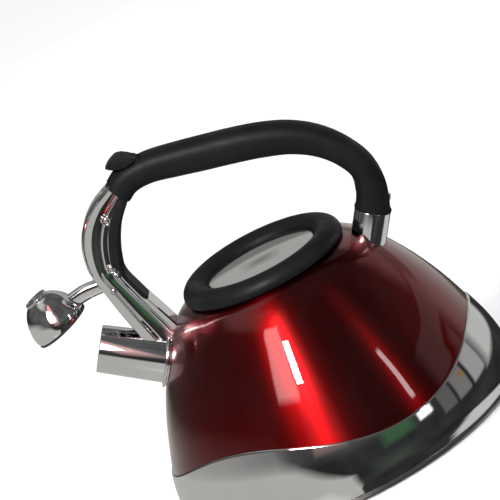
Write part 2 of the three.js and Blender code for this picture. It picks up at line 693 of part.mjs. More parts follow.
function armSolid() {
  const [px, pz] = CAP_PIN;
  const blade = [
    [px - 0.6, pz + 4.1], [px - 4, pz + 7], [-99.8, 166], [-109, 166.6], [-121, 164.8],
    [-121, 155.4], [-109, 156.4], [-99.8, 156.6], [px - 3, pz - 3],
  ];
  const crank = [[px, pz + 3.4], crankPinSide(1), crankPinSide(-1), [px, pz - 3.4]];
  const insideCap = [
    [0, -2], [CAP_OUTER[0][0] + GAP, -2],
    ...CAP_OUTER.map(([r, h]) => [r + GAP, h]), [0, CAP_OUTER.at(-1)[1]],
  ];
  return plate(blade, -ARM_HALF_WIDTH, ARM_HALF_WIDTH)
    .add(plate(crank, -ARM_HALF_WIDTH, ARM_HALF_WIDTH))
    .add(crossPin(CAP_PIN, 4.2, -ARM_HALF_WIDTH, ARM_HALF_WIDTH, 20))
    .add(crossPin(crankPin, CRANK_END_RADIUS, -ARM_HALF_WIDTH, ARM_HALF_WIDTH, 16))
    .subtract(box([px - 4.8, -FORK_HALF_GAP, 140], [px + 15, FORK_HALF_GAP, 175]))
    .subtract(crossPin(CAP_PIN, CAP_PIN_RADIUS + GAP, -ACROSS, ACROSS))
    .subtract(crossPin(crankPin, CRANK_PIN_RADIUS + GAP, -ACROSS, ACROSS))
    .subtract(capTurned(insideCap))
    .subtract(capScrewSolid(GAP));
}

// One side of the crank's rounded end.
function crankPinSide(side) {
  const reach = side * CRANK_END_RADIUS;
  return [crankPin[0] + reach * Math.sin(CAP_SWING / 2), crankPin[1] + reach * Math.cos(CAP_SWING / 2)];
}

function whistleDiscSolid() {
  const profile = [
    [1, 20.4], [1.8, 20.4], [1.8, 22.5], [7.5, 22.5], [7.9, 22.9],
    [7.9, 24], [7.4, 24.4], [2.6, 24.4], [1, 23.6], [1, 20.4],
  ];
  return capTurned(profile, 18);
}

function whistlePlateSolid() {
  const profile = [
    [1.2, 14.6], [3.4, 14.6], [4.2, 14], [12.4, 14],
    [12.4, 15], [4.6, 15], [3.8, 15.6], [1.2, 15.6], [1.2, 14.6],
  ];
  return capTurned(profile, 18);
}

// Seal that bears on the spout's mouth, with a lip that covers the cap's edge.
function capSealSolid() {
  const profile = [
    [12.2, 0.8], [12.6, 0.4], [16.6, 0.4], [16.6, -1], [17, -1.4], [18.4, -1.4], [18.8, -1],
    [18.8, -GAP], [16.7, -GAP], [16.4, 3.4], [12.2, 3.4], [12.2, 0.8],
  ];
  return capTurned(profile);
}

// Torsion spring beside the arm, round the cap pin.
class SpringLine extends THREE.Curve {
  getPoint(t, target = new THREE.Vector3()) {
    const turn = SPRING_TURNS * 2 * Math.PI * t;
    const x = CAP_PIN[0] + SPRING_RADIUS * Math.cos(turn);
    const z = CAP_PIN[1] + SPRING_RADIUS * Math.sin(turn);
    return target.set(x, SPRING_START + SPRING_PITCH * SPRING_TURNS * t, z);
  }
}

function springSolid() {
  const wire = new THREE.Shape().absarc(0, 0, SPRING_WIRE_RADIUS, 0, 2 * Math.PI);
  const options = { steps: 26, extrudePath: new SpringLine(), curveSegments: 3, bevelEnabled: false };
  return solid(new THREE.ExtrudeGeometry(wire, options));
}

addPart('cap_pin', pinSolid(CAP_PIN, CAP_PIN_RADIUS, STRUT_HALF_WIDTH + 0.4), brushedSteel());
addPart('cap_return_spring', springSolid(), brushedSteel());
addPart('cap_arm', armSolid(), polishedSteel());
addPart('crank_pin', pinSolid(crankPin, CRANK_PIN_RADIUS, ARM_HALF_WIDTH), brushedSteel());
addPart('cap_shell', capShellSolid(), polishedSteel());
addPart('cap_screw', capScrewSolid(), brushedSteel());
addPart('cap_seal', capSealSolid(), silicone());
addPart('whistle_plate', whistlePlateSolid(), brushedSteel());
addPart('whistle_disc', whistleDiscSolid(), brushedSteel());

// ---- lid ----

function lidScrewPlaces() {
  return Array.from({ length: LID_SCREW_COUNT }, (_, i) => {
    const angle = Math.PI / 2 + (2 * Math.PI * i) / LID_SCREW_COUNT;
    return [LID_SCREW_CIRCLE * Math.cos(angle), LID_SCREW_CIRCLE * Math.sin(angle)];
  });
}

function lidScrewSolid([x, y], grow = 0) {
  const [shank, head] = [1.4 + grow, 3 + grow];
  const [low, seat, tip] = [127 - 20 * grow, 129.2 + grow, 135 + grow];
  const profile = [[0, low], [head, low], [head, seat], [shank, seat], [shank, tip], [0, tip]];
  return solid(turned(profile, 12).translate(x, y, 0));
}

function lidRingSolid() {
  const profile = [
    [LID_RING_INNER, 131.6], [50.4, 131.6], [51.6, 129.1], [53.4, 129.1], [54, 129.8],
    [53.9, 132.2], [52.6, 135.6], [50, 138], [46.6, 139.2], [43, 138.9],
    [39.8, 137.2], [37.6, 135.4], [LID_RING_INNER, 134], [LID_RING_INNER, 131.6],
  ];
  let ring = solid(turned(profile, 36));
  for (const place of lidScrewPlaces()) ring = ring.subtract(lidScrewSolid(place, GAP));
  return ring;
}

// Convex disc set inside the ring.
function lidPlateSolid() {
  const edge = LID_RING_INNER - GAP;
  const height = (r) => 136.6 - 2.4 * (r / edge) ** 2;
  const radii = [0, 12, 24, 31, edge];
  const top = radii.map((r) => [r, height(r)]).reverse();
  const under = radii.slice(0, 4).map((r) => [r, height(r) - 1]);
  const rim = [[edge - 1, 133], [edge - 1, 131.7], [edge, 131.7]];
  return solid(turned([...top, ...under, ...rim, top[0]], 32));
}

function lidPanSolid() {
  const [r, top, under] = [LID_SKIRT_RADIUS, 131.2, 129.8];
  const profile = [[0, under], [r - 1.4, under], [r - 1.4, 121], [r, 121], [r, top], [0, top]];
  let pan = solid(turned(profile, 36));
  for (const place of lidScrewPlaces()) pan = pan.subtract(lidScrewSolid(place, GAP));
  return pan;
}

function lidGasketSolid() {
  const [low, high] = [LID_SKIRT_RADIUS + GAP, OPENING_RADIUS - GAP];
  const profile = [
    [low, 123.4], [high - 1, 123.4], [high, 125], [high - 1, 126.6], [low, 126.6], [low, 123.4],
  ];
  return solid(turned(profile, 36));
}

addPart('lid_ring', lidRingSolid(), blackPlastic());
addPart('lid_plate', lidPlateSolid(), polishedSteel());
addPart('lid_pan', lidPanSolid(), brushedSteel());
addPart('lid_gasket', lidGasketSolid(), silicone());
lidScrewPlaces().forEach((place, i) => addPart(`lid_screw_${i + 1}`, lidScrewSolid(place), brushedSteel()));

export default kettle;
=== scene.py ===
# Stovetop whistling kettle: the finished look of each piece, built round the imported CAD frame.
# Lengths are in millimetres until a mesh is made, and in metres in materials and on the stage. The axes
# are the frame's: +Z up, spout towards -X, handle in the XZ plane. Points written as (x, z) lie in that
# plane, and (r, z) are on a turned profile.

import json
import math

import bmesh
import bpy
from mathutils import Matrix, Vector


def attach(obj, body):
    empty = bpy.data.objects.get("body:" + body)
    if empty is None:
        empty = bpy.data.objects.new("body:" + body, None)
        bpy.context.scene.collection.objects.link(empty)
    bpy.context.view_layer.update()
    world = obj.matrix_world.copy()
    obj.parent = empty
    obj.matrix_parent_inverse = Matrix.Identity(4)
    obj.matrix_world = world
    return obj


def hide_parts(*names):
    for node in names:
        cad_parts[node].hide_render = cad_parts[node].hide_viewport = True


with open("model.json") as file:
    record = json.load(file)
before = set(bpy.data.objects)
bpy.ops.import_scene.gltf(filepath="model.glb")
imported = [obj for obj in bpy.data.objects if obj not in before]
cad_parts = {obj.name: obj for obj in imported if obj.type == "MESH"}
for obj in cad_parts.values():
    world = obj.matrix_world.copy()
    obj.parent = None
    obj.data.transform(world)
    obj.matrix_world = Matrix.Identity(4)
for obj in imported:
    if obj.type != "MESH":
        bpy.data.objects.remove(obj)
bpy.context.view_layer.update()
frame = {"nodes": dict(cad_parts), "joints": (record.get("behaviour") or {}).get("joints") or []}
MM = 0.001
SCENE = bpy.context.scene
JOINTS = {joint["name"]: joint for joint in frame["joints"]}

# ---- driving dimensions, as in the CAD source except for thinner walls ----

BODY_PROFILE = [
    (111.0, 4.8), (113.4, 11), (114, 18), (111.6, 33), (105.6, 51), (98, 70.5),
    (88.6, 89.5), (78.6, 105.5), (69.2, 118), (60.5, 125.2), (54, 128.3), (49.6, 129.4),
]
BODY_SEGMENTS = 240
DOME_INSET = 0.9
WALL = 1.2
OPENING_RADIUS = 48
SEAM_HEIGHT = 44
SEAM_AMPLITUDE = 10
SEAM_WAVES = 3
SEAM_PHASE = math.radians(31)
SEAM_FADE = (20, 104)
BASE_RADIUS = 110.2
BASE_RIM_TOP = 4.4
CORE_RADIUS = 101

SPOUT_TILT = math.radians(33.7)
SPOUT_ROOT = (-82.3, 101.5)
SPOUT_AXIS = (-math.cos(SPOUT_TILT), math.sin(SPOUT_TILT))
SPOUT_LENGTH = 41.5
SPOUT_ROOT_RADIUS = 16
SPOUT_MOUTH_RADIUS = 15
COLLAR_RADIUS = 18.8

CAP_PIN = (JOINTS["cap_hinge"]["pos_m"][0] / MM, JOINTS["cap_hinge"]["pos_m"][2] / MM)
CAP_SWING = math.radians(JOINTS["cap_hinge"]["range_deg"][1])
CAP_AXIS = (-math.cos(SPOUT_TILT + CAP_SWING), math.sin(SPOUT_TILT + CAP_SWING))
ARM_HALF_WIDTH = 4.2
CRANK_LENGTH = 7
CRANK_END_RADIUS = 2.7

STRUT_FRONT = [
    (-64, 218.6), (-78.3, 211.5), (-88.5, 202.5), (-94.8, 192), (-98.2, 180), (-98.6, 170),
    (-96.6, 160), (-93.6, 144), (-90, 128), (-86.5, 112),
]
STRUT_REAR = [
    (-56.2, 205.3), (-63.6, 197.2), (-69.4, 189), (-73.9, 180.6), (-77.2, 172), (-78.9, 164),
    (-75.4, 151), (-70.6, 137.5), (-66.2, 126), (-61.5, 112),
]
STRUT_WALL = 1.4
LINER_END = 0.725

GRIP_LINE = [
    (-63, 210.4), (-48, 217.2), (-36, 218), (-20, 215.4), (-2, 211.8), (16, 208.2), (34, 203.8),
    (51, 197.6), (65, 188.6), (76, 176.4), (83, 161.6), (82.2, 147.4), (76.4, 132.4),
]
GRIP_HALF_IN_PLANE = [9.2, 9.4, 9.8, 10.4, 10.8, 10.9, 10.8, 10.3, 9.6, 8.9, 8.6, 9.8, 11.4]
GRIP_HALF_ACROSS = 10.8
GRIP_SQUARENESS = 2.5

LEVER_PIN = (JOINTS["lever_hinge"]["pos_m"][0] / MM, JOINTS["lever_hinge"]["pos_m"][2] / MM)
LEVER_HALF_WIDTH = 8.6
FERRULE_TOP = (76.9, 133.6)
FERRULE_AXIS = (0.556, 0.831)
FERRULE_LENGTH = 26
FERRULE_RADIUS = 11.3
GRIP_SCREW_PLACE = (80.4, 141)
GRIP_SCREW_AXIS = (0.88, -0.47)
LID_RING_INNER = 36.8

# ---- curves and outlines ----


def smoothstep(low, high, value):
    share = min(1.0, max(0.0, (value - low) / (high - low)))
    return share * share * (3 - 2 * share)


def lerp(a, b, share):
    return a + (b - a) * share


def spline(points, t):
    """A point at t, 0 to 1, on a centripetal Catmull-Rom curve through the points."""
    pieces = len(points) - 1
    place = min(1.0, max(0.0, t)) * pieces
    first = min(int(place), pieces - 1)
    share = place - first
    b, c = Vector(points[first]), Vector(points[first + 1])
    a = Vector(points[first - 1]) if first > 0 else 2 * b - c
    d = Vector(points[first + 2]) if first + 2 <= pieces else 2 * c - b
    before, here, after = [(q - p).length ** 0.5 for p, q in ((a, b), (b, c), (c, d))]
    start = ((b - a) / before - (c - a) / (before + here) + (c - b) / here) * here
    end = ((c - b) / here - (d - b) / (here + after) + (d - c) / after) * here
    bend = (3 * (c - b) - 2 * start - end) * share**2
    return b + start * share + bend + (2 * (b - c) + start + end) * share**3


def spline_tangent(points, t, step=1e-3):
    return (spline(points, min(1, t + step)) - spline(points, max(0, t - step))).normalized()


def monotone(points):
    """A smooth function through (place, value) points that never overshoots them."""
    gaps = [q[0] - p[0] for p, q in zip(points, points[1:])]
    slopes = [(q[1] - p[1]) / gap for p, q, gap in zip(points, points[1:], gaps)]
    inner = [0 if a * b <= 0 else 2 * a * b / (a + b) for a, b in zip(slopes, slopes[1:])]
    tangents = [0.0] + inner + [0.0]

    def value(place):
        place = min(points[-1][0], max(points[0][0], place))
        i = next((k for k in range(len(gaps)) if place <= points[k + 1][0]), len(gaps) - 1)
        s = (place - points[i][0]) / gaps[i]
        low, high = points[i][1], points[i + 1][1]
        bend = gaps[i] * (tangents[i] * s * (1 - s) ** 2 - tangents[i + 1] * s * s * (1 - s))
        return lerp(low, high, s * s * (3 - 2 * s)) + bend

    return value


def rounded(corners, steps=5):
    """A closed outline of (a, b, radius) corners, each corner turned into an arc of that radius."""
    outline = []
    for i, (a, b, radius) in enumerate(corners):
        corner = Vector((a, b))
        before = Vector(corners[i - 1][:2]) - corner
        after = Vector(corners[(i + 1) % len(corners)][:2]) - corner
        if radius <= 0:
            outline.append((a, b))
            continue
        half = before.angle(after) / 2
        reach = min(radius / math.tan(half), 0.49 * before.length, 0.49 * after.length)
        start, end = corner + before.normalized() * reach, corner + after.normalized() * reach
        for k in range(steps + 1):
            s = k / steps
            outline.append(tuple(start * (1 - s) ** 2 + corner * 2 * s * (1 - s) + end * s**2))
    return outline


def arc(centre, radius, start, end, steps):
    """Points on an arc between two angles in degrees."""
    angles = [math.radians(lerp(start, end, i / steps)) for i in range(steps + 1)]
    return [(centre[0] + radius * math.cos(a), centre[1] + radius * math.sin(a)) for a in angles]


def mirrored(side):
    """A whole outline of (a, b, radius) corners from one side's, with the other side at -b."""
    return [(a, -b, radius) for a, b, radius in side] + side[::-1]


def grown(outline, distance):
    """A closed outline moved out by a distance, square to itself."""
    area = sum(p[0] * q[1] - q[0] * p[1] for p, q in zip(outline, outline[1:] + outline[:1]))
    side = math.copysign(distance, area)
    moved = []
    for i, point in enumerate(outline):
        before, after = Vector(outline[i - 1]), Vector(outline[(i + 1) % len(outline)])
        along = (after - before).normalized()
        moved.append((point[0] + along.y * side, point[1] - along.x * side))
    return moved


# ---- mesh builders ----


def loft(rings, capped=True):
    """A mesh through closed rings of points; capped fills the first and last."""
    mesh = bmesh.new()
    rows = [[mesh.verts.new(point) for point in ring] for ring in rings]
    count = len(rows[0])
    for low, high in zip(rows, rows[1:]):
        for i in range(count):
            j = (i + 1) % count
            mesh.faces.new((low[i], low[j], high[j], high[i]))
    if capped:
        mesh.faces.new(rows[0][::-1])
        mesh.faces.new(rows[-1])
    return mesh


def turned(profile, segments, shape=None):
    """A closed (r, z) profile turned about Z; shape moves each point before the mesh is made."""
    mesh = bmesh.new()
    columns = []
    for r, z in profile:
        if r < 1e-6:
            columns.append([mesh.verts.new((0, 0, z))] * segments)
            continue
        ring = []
        for i in range(segments):
            angle = 2 * math.pi * i / segments
            point = (r * math.cos(angle), r * math.sin(angle), z)
            ring.append(mesh.verts.new(shape(*point) if shape else point))
        columns.append(ring)
    for low, high in zip(columns, columns[1:] + columns[:1]):
        for i in range(segments):
            j = (i + 1) % segments
            corners = list(dict.fromkeys((low[i], low[j], high[j], high[i])))
            if len(corners) > 2:
                mesh.faces.new(corners)
    return mesh


def plate(outline, low, high, edge, steps):
    """An (x, z) outline with thickness from y = low to y = high and edges rounded by edge."""
    rings = []
    for y, side in ((low, 1), (high, -1)):
        turn = [math.pi / 2 * k / steps for k in range(steps + 1)]
        rows = [(y + side * edge * (1 - math.cos(a)), edge * (1 - math.sin(a))) for a in turn]
        if side < 0:
            rows.reverse()
        for at, inset in rows:
            rings.append([(x, at, z) for x, z in grown(outline, -inset)])
    return loft(rings)


def peg(centre, radius, half_width, sides=24, edge=0.01, steps=1):
    """A short round bar along Y, for a hole, a hub or an eye."""
    rim = arc(centre, radius, 0, 360 - 360 / sides, sides - 1)
    return plate(rim, -half_width, half_width, edge, steps)


def tube(points, radius, sides, steps):
    """A round bar along (x, y, z) points, closed at its ends."""
    rings = []
    for k in range(steps + 1):
        centre = spline(points, k / steps)
        along = spline_tangent(points, k / steps)
        across = along.orthogonal().normalized()
        if rings:
            across = (last_across - along * last_across.dot(along)).normalized()
        last_across = across
        other = along.cross(across)
        angles = [2 * math.pi * i / sides for i in range(sides)]
        rings.append([centre + (across * math.cos(a) + other * math.sin(a)) * radius for a in angles])
    return loft(rings)


def aim(axis, origin, unit=MM):
    """Places a piece made about Z so that its axis points along (x, z) from an (x, z) origin."""
    place = Matrix.Translation(Vector((origin[0], 0, origin[1])) * unit)
    return place @ Matrix.Rotation(math.atan2(axis[0], axis[1]), 4, "Y")


def laid(mesh, axis, origin):
    """Moves a bmesh in millimetres as aim places a finished piece."""
    bmesh.ops.transform(mesh, matrix=aim(axis, origin, 1), verts=mesh.verts)
    return mesh


def sideways(origin, y, facing):
    """Places a piece made about Z so that its axis points along +Y or -Y."""
    place = Matrix.Translation(Vector((origin[0], y, origin[1])) * MM)
    return place @ Matrix.Rotation(-facing * math.pi / 2, 4, "X")


def linked(data):
    """An object in the scene for a mesh, light or camera, under the same name."""
    made = bpy.data.objects.new(data.name, data)
    SCENE.collection.objects.link(made)
    return made


def from_bmesh(name, mesh):
    """An object from a bmesh in millimetres, which is used up."""
    bmesh.ops.recalc_face_normals(mesh, faces=mesh.faces)
    bmesh.ops.scale(mesh, vec=(MM, MM, MM), verts=mesh.verts)
    data = bpy.data.meshes.new(name)
    mesh.to_mesh(data)
    mesh.free()
    return linked(data)


def piece(name, mesh, finish, body, replaces=(), place=None, sharp=40):
    """Turns a bmesh in millimetres into a finished object that rides on a body."""
    material, slot = finish
    bmesh.ops.remove_doubles(mesh, verts=mesh.verts, dist=1e-4)
    made = from_bmesh(name, mesh)
    made.data.shade_smooth()
    made.data.set_sharp_from_angle(angle=math.radians(sharp))
    made.data.materials.append(material)
    if place:
        made.matrix_world = place
    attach(made, body)
    if replaces:
        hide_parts(*replaces)
    return made


def carved(made, tools, how="DIFFERENCE"):
    """Cuts bmesh shapes in millimetres out of a finished piece, or joins them to it."""
    for i, cutter in enumerate(tools):
        tool = from_bmesh(f"{made.name}_cutter_{i}", cutter)
        cut = made.modifiers.new("cut", "BOOLEAN")
        cut.object = tool
        cut.operation = how
        cut.solver = "EXACT"
        bpy.context.view_layer.update()
        shaped = bpy.data.meshes.new_from_object(made.evaluated_get(bpy.context.evaluated_depsgraph_get()))
        made.modifiers.clear()
        old, made.data = made.data, shaped
        bpy.data.meshes.remove(old)
        bpy.data.objects.remove(tool)


def cutter_box(low, high):
    """A box between two opposite corners."""
    corners = [(low[0], low[1]), (high[0], low[1]), (high[0], high[1]), (low[0], high[1])]
    return loft([[(x, y, z) for x, y in corners] for z in (low[2], high[2])])


# ---- materials ----

NOISE_SPAN = (0.3, 0.7)

def add_node(tree, kind, output, **inputs):
    """Adds a node with its inputs set or linked, and gives back one of its outputs."""
    made = tree.nodes.new(kind)
    for name, value in inputs.items():
        socket = made.inputs[name.replace("_", " ")]
        if isinstance(value, bpy.types.NodeSocket):
            tree.links.new(value, socket)
        else:
            socket.default_value = value
    return made.outputs[output]


class Surface:
    """A Principled material, with short ways to add procedural detail to it."""

    def __init__(self, name, color, metallic, roughness, **fixed):
        self.material = bpy.data.materials.new(name)
        self.material.use_nodes = True
        self.tree = self.material.node_tree
        self.shader = self.tree.nodes["Principled BSDF"]
        self.shader.inputs["Base Color"].default_value = (*color, 1)
        self.shader.inputs["Metallic"].default_value = metallic
        self.shader.inputs["Roughness"].default_value = roughness
        for socket, value in fixed.items():
            self.shader.inputs[socket.replace("_", " ")].default_value = value
        self.place = self.tree.nodes.new("ShaderNodeTexCoord").outputs["Object"]
        self.normal = None

    def node(self, kind, output, **inputs):
        return add_node(self.tree, kind, output, **inputs)

    def noise(self, scale, detail=2.0, place=None):
        place = place or self.place
        return self.node("ShaderNodeTexNoise", "Fac", Vector=place, Scale=scale, Detail=detail)

    def stretched(self, x, y, z):
        """The piece's own coordinates scaled unevenly, for lines of brushing."""
        return self.node("ShaderNodeMapping", "Vector", Vector=self.place, Scale=(x, y, z))

    def spun(self, scale):
        """Noise that changes only with the distance from the piece's own Z axis."""
        split = self.node("ShaderNodeSeparateXYZ", "X", Vector=self.place).node
        flat = self.node("ShaderNodeCombineXYZ", "Vector", X=split.outputs["X"], Y=split.outputs["Y"])
        length = self.tree.nodes.new("ShaderNodeVectorMath")
        length.operation = "LENGTH"
        self.tree.links.new(flat, length.inputs[0])
        line = self.node("ShaderNodeCombineXYZ", "Vector", X=length.outputs["Value"])
        return self.noise(scale, 4.0, line)

    def roughened(self, value, low, high):
        ranged = self.node("ShaderNodeMapRange", "Result", Value=value, From_Min=NOISE_SPAN[0],
                           From_Max=NOISE_SPAN[1], To_Min=low, To_Max=high)
        self.tree.links.new(ranged, self.shader.inputs["Roughness"])

    def colored(self, value, dark, light):
        ramp = self.tree.nodes.new("ShaderNodeValToRGB")
        for element, place, color in zip(ramp.color_ramp.elements, NOISE_SPAN, (dark, light)):
            element.position = place
            element.color = (*color, 1)
        self.tree.links.new(value, ramp.inputs["Fac"])
        self.tree.links.new(ramp.outputs["Color"], self.shader.inputs["Base Color"])

    def bumped(self, height, distance, strength, coat=False):
        inputs = {"Height": height, "Distance": distance, "Strength": strength}
        if self.normal and not coat:
            inputs["Normal"] = self.normal
        bump = self.node("ShaderNodeBump", "Normal", **inputs)
        self.tree.links.new(bump, self.shader.inputs["Coat Normal" if coat else "Normal"])
        if not coat:
            self.normal = bump


def candy_red():
    surface = Surface("candy_red", (0.36, 0.004, 0.008), 1.0, 0.3, Coat_Weight=1.0, Coat_Roughness=0.02,
                      Coat_IOR=1.45, Anisotropic=0.85, Anisotropic_Rotation=0.25)
    around = surface.tree.nodes.new("ShaderNodeTangent")
    around.direction_type = "RADIAL"
    around.axis = "Z"
    surface.tree.links.new(around.outputs[0], surface.shader.inputs["Tangent"])
    flakes = surface.node("ShaderNodeTexVoronoi", "Color", Vector=surface.place, Scale=2600.0)
    shade = surface.noise(9.0, 3.0)
    surface.colored(shade, (0.175, 0.0012, 0.0018), (0.215, 0.002, 0.003))
    surface.roughened(surface.noise(1400.0, 2.0), 0.29, 0.34)
    surface.bumped(flakes, 0.00002, 0.15)
    surface.bumped(surface.noise(16.0, 1.0), 0.0004, 0.06, coat=True)
    return surface.material


def mirror_steel():
    surface = Surface("mirror_steel", (0.8, 0.81, 0.82), 1.0, 0.05)
    surface.colored(surface.noise(30.0, 3.0), (0.76, 0.77, 0.78), (0.83, 0.83, 0.84))
    surface.roughened(surface.noise(45.0, 5.0), 0.03, 0.075)
    surface.bumped(surface.noise(14.0, 1.0), 0.0006, 0.05)
    surface.bumped(surface.noise(900.0, 2.0), 0.00001, 0.12)
    return surface.material


def spun_steel():
    surface = Surface("spun_steel", (0.66, 0.66, 0.65), 1.0, 0.28)
    lines = surface.spun(2600.0)
    surface.colored(surface.noise(60.0, 3.0), (0.6, 0.6, 0.6), (0.7, 0.7, 0.69))
    surface.roughened(lines, 0.2, 0.38)
    surface.bumped(lines, 0.00004, 0.35)
    return surface.material


def brushed_steel():
    surface = Surface("brushed_steel", (0.62, 0.62, 0.61), 1.0, 0.3)
    lines = surface.noise(260.0, 4.0, surface.stretched(1, 12, 1))
    surface.colored(surface.noise(80.0, 3.0), (0.55, 0.55, 0.55), (0.66, 0.66, 0.65))
    surface.roughened(lines, 0.22, 0.38)
    surface.bumped(lines, 0.00003, 0.3)
    return surface.material


def cast_aluminium():
    surface = Surface("cast_aluminium", (0.6, 0.61, 0.62), 1.0, 0.5)
    surface.colored(surface.noise(90.0, 4.0), (0.52, 0.53, 0.54), (0.66, 0.67, 0.68))
    surface.roughened(surface.noise(700.0), 0.42, 0.6)
    surface.bumped(surface.noise(1500.0), 0.00005, 0.4)
    return surface.material


def satin_black():
    surface = Surface("satin_black", (0.006, 0.007, 0.008), 0.0, 0.5, Specular_IOR_Level=0.16)
    surface.colored(surface.noise(40.0, 3.0), (0.004, 0.0045, 0.005), (0.007, 0.008, 0.009))
    surface.roughened(surface.noise(120.0, 4.0), 0.42, 0.56)
    surface.bumped(surface.noise(2400.0, 3.0), 0.00004, 0.5)
    surface.bumped(surface.noise(60.0, 1.0), 0.0003, 0.08)
    return surface.material


def black_silicone():
    surface = Surface("black_silicone", (0.02, 0.02, 0.022), 0.0, 0.65, Specular_IOR_Level=0.3)
    surface.colored(surface.noise(50.0, 3.0), (0.013, 0.013, 0.015), (0.026, 0.026, 0.029))
    surface.roughened(surface.noise(300.0), 0.55, 0.75)
    surface.bumped(surface.noise(1800.0), 0.00004, 0.4)
    return surface.material


def pale_floor():
    surface = Surface("pale_floor", (0.84, 0.84, 0.84), 0.0, 0.7)
    surface.colored(surface.noise(2.0), (0.83, 0.83, 0.83), (0.86, 0.86, 0.86))
    return surface.material


ALUMINIUM = cast_aluminium()
# A finish is a material and the name of a slot of the record.
RED = (candy_red(), "red_paint")
MIRROR = (mirror_steel(), "polished_steel")
SPUN = (spun_steel(), "brushed_steel")
SPUN_BASE = (SPUN[0], "polished_steel")
BRUSHED = (brushed_steel(), "brushed_steel")
BLACK = (satin_black(), "black_plastic")
SILICONE = (black_silicone(), "silicone")

# ---- body ----

BODY_SAMPLES = [spline(BODY_PROFILE, i / 300) for i in range(301)]


def body_radius(z):
    above = next((i for i, sample in enumerate(BODY_SAMPLES) if sample.y >= z), len(BODY_SAMPLES) - 1)
    low, high = BODY_SAMPLES[max(0, above - 1)], BODY_SAMPLES[above]
    if high.y <= low.y:
        return high.x
    return lerp(low.x, high.x, min(1, max(0, (z - low.y) / (high.y - low.y))))


def waved(x, y, z):
    """Moves a point of the wall so that the level at SEAM_HEIGHT follows the seam's waves."""
    radius = math.hypot(x, y)
    low, high = SEAM_FADE
    if radius < 60 or not low < z < high:
        return x, y, z
    edge = low if z < SEAM_HEIGHT else high
    share = (z - edge) / (SEAM_HEIGHT - edge)
    weight = share * share * (3 - 2 * share)
    height = z + weight * SEAM_AMPLITUDE * math.cos(SEAM_WAVES * (math.atan2(x, -y) + SEAM_PHASE))
    grow = (body_radius(height) + radius - body_radius(z)) / radius
    return x * grow, y * grow, height


def wall(low, high, rows, inset):
    """Points up the body's wall, moved in square to its surface."""
    points = []
    for i in range(rows + 1):
        z = lerp(low, high, i / rows)
        slope = (body_radius(z + 0.5) - body_radius(z - 0.5)) if z < 127 else -4.0
        lean = math.hypot(1, slope)
        points.append((body_radius(z) - inset / lean, z + inset * slope / lean))
    return points


def make_dome():
    outer = wall(SEAM_HEIGHT - 3, 127.6, 84, DOME_INSET)
    lip = arc((OPENING_RADIUS + 1.6, 127.4), 1.6, 90, 180, 6)
    inside = OPENING_RADIUS + WALL
    neck = [(OPENING_RADIUS, 122), (inside, 122), (inside, 125)]
    inner = wall(SEAM_HEIGHT - 3, 124, 30, DOME_INSET + WALL)[::-1]
    skin = turned(outer + lip + neck + inner, BODY_SEGMENTS, waved)
    dome = piece("dome_skin", skin, RED, "root", ["body_dome"], sharp=60)
    bore = SPOUT_ROOT_RADIUS - WALL
    drill = turned([(0, -14), (bore, -14), (bore, 10), (0, 10)], 64)
    carved(dome, [laid(drill, SPOUT_AXIS, SPOUT_ROOT)])


def make_band():
    rim = 0.5
    profile = [(0, 7.6), (104, 7.6), (107.5, 6.4), (109.2, 4.8)] + arc((110.6, 5.6), 0.8, -90, -20, 4)
    profile += wall(7, SEAM_HEIGHT - rim, 52, 0)
    profile += arc((body_radius(SEAM_HEIGHT) - rim, SEAM_HEIGHT - rim), rim, 20, 170, 6)
    profile += wall(12, SEAM_HEIGHT - 1, 16, 1.8)[::-1] + [(109.6, 10.2), (107, 9.2), (0, 9.2)]
    skin = turned(profile, BODY_SEGMENTS, waved)
    piece("band_skin", skin, MIRROR, "root", ["body_band"], sharp=60)


def make_base():
    inner = CORE_RADIUS + 0.3
    corners = [(0, 0, 0)]
    for groove in (28, 66):
        corners += [(groove + dx, z, 0.1) for dx, z in ((0, 0), (0.6, 0.4), (2.4, 0.4), (3, 0))]
    corners += [
        (BASE_RADIUS - 3, 0, 1.2), (BASE_RADIUS, 1.6, 0.6), (BASE_RADIUS, BASE_RIM_TOP, 0.5),
        (inner, BASE_RIM_TOP, 0.2), (inner, 1.6, 0.2), (0, 1.6, 0),
    ]
    base = turned(rounded(corners), BODY_SEGMENTS)
    piece("base_shell", base, SPUN_BASE, "root", ["base_cap"])


make_dome()
make_band()
make_base()

# ---- spout ----


def spout_point(radius, angle, along):
    """A point about the spout's axis, in the frame's axes."""
    side, up = radius * math.sin(angle), radius * math.cos(angle)
    ax, az = SPOUT_AXIS
    return SPOUT_ROOT[0] + ax * along + az * up, side, SPOUT_ROOT[1] + az * along - ax * up


def dome_along_spout(radius, angle):
    """How far along the spout's axis a line beside it leaves the dome's outer surface."""
    low, high = -14.0, 8.0
    for _ in range(30):
        middle = (low + high) / 2
        x, y, z = spout_point(radius, angle, middle)
        if math.hypot(x, y) < body_radius(z) - DOME_INSET:
            low = middle
        else:
            high = middle
    return low


def make_spout():
    outer, mouth, top = SPOUT_ROOT_RADIUS, SPOUT_MOUTH_RADIUS, SPOUT_LENGTH - 0.6
    profile = [(outer, -9), (outer, 1), (outer - 0.1, 4), (mouth, top)]
    profile += arc((mouth - 0.6, top), 0.6, 20, 180, 7)[1:]
    profile += [(outer - WALL - 0.1, 4), (outer - WALL, 1), (outer - WALL, -9)]
    piece("spout_skin", turned(profile, 96), MIRROR, "root", ["spout_tube"],
          aim(SPOUT_AXIS, SPOUT_ROOT))


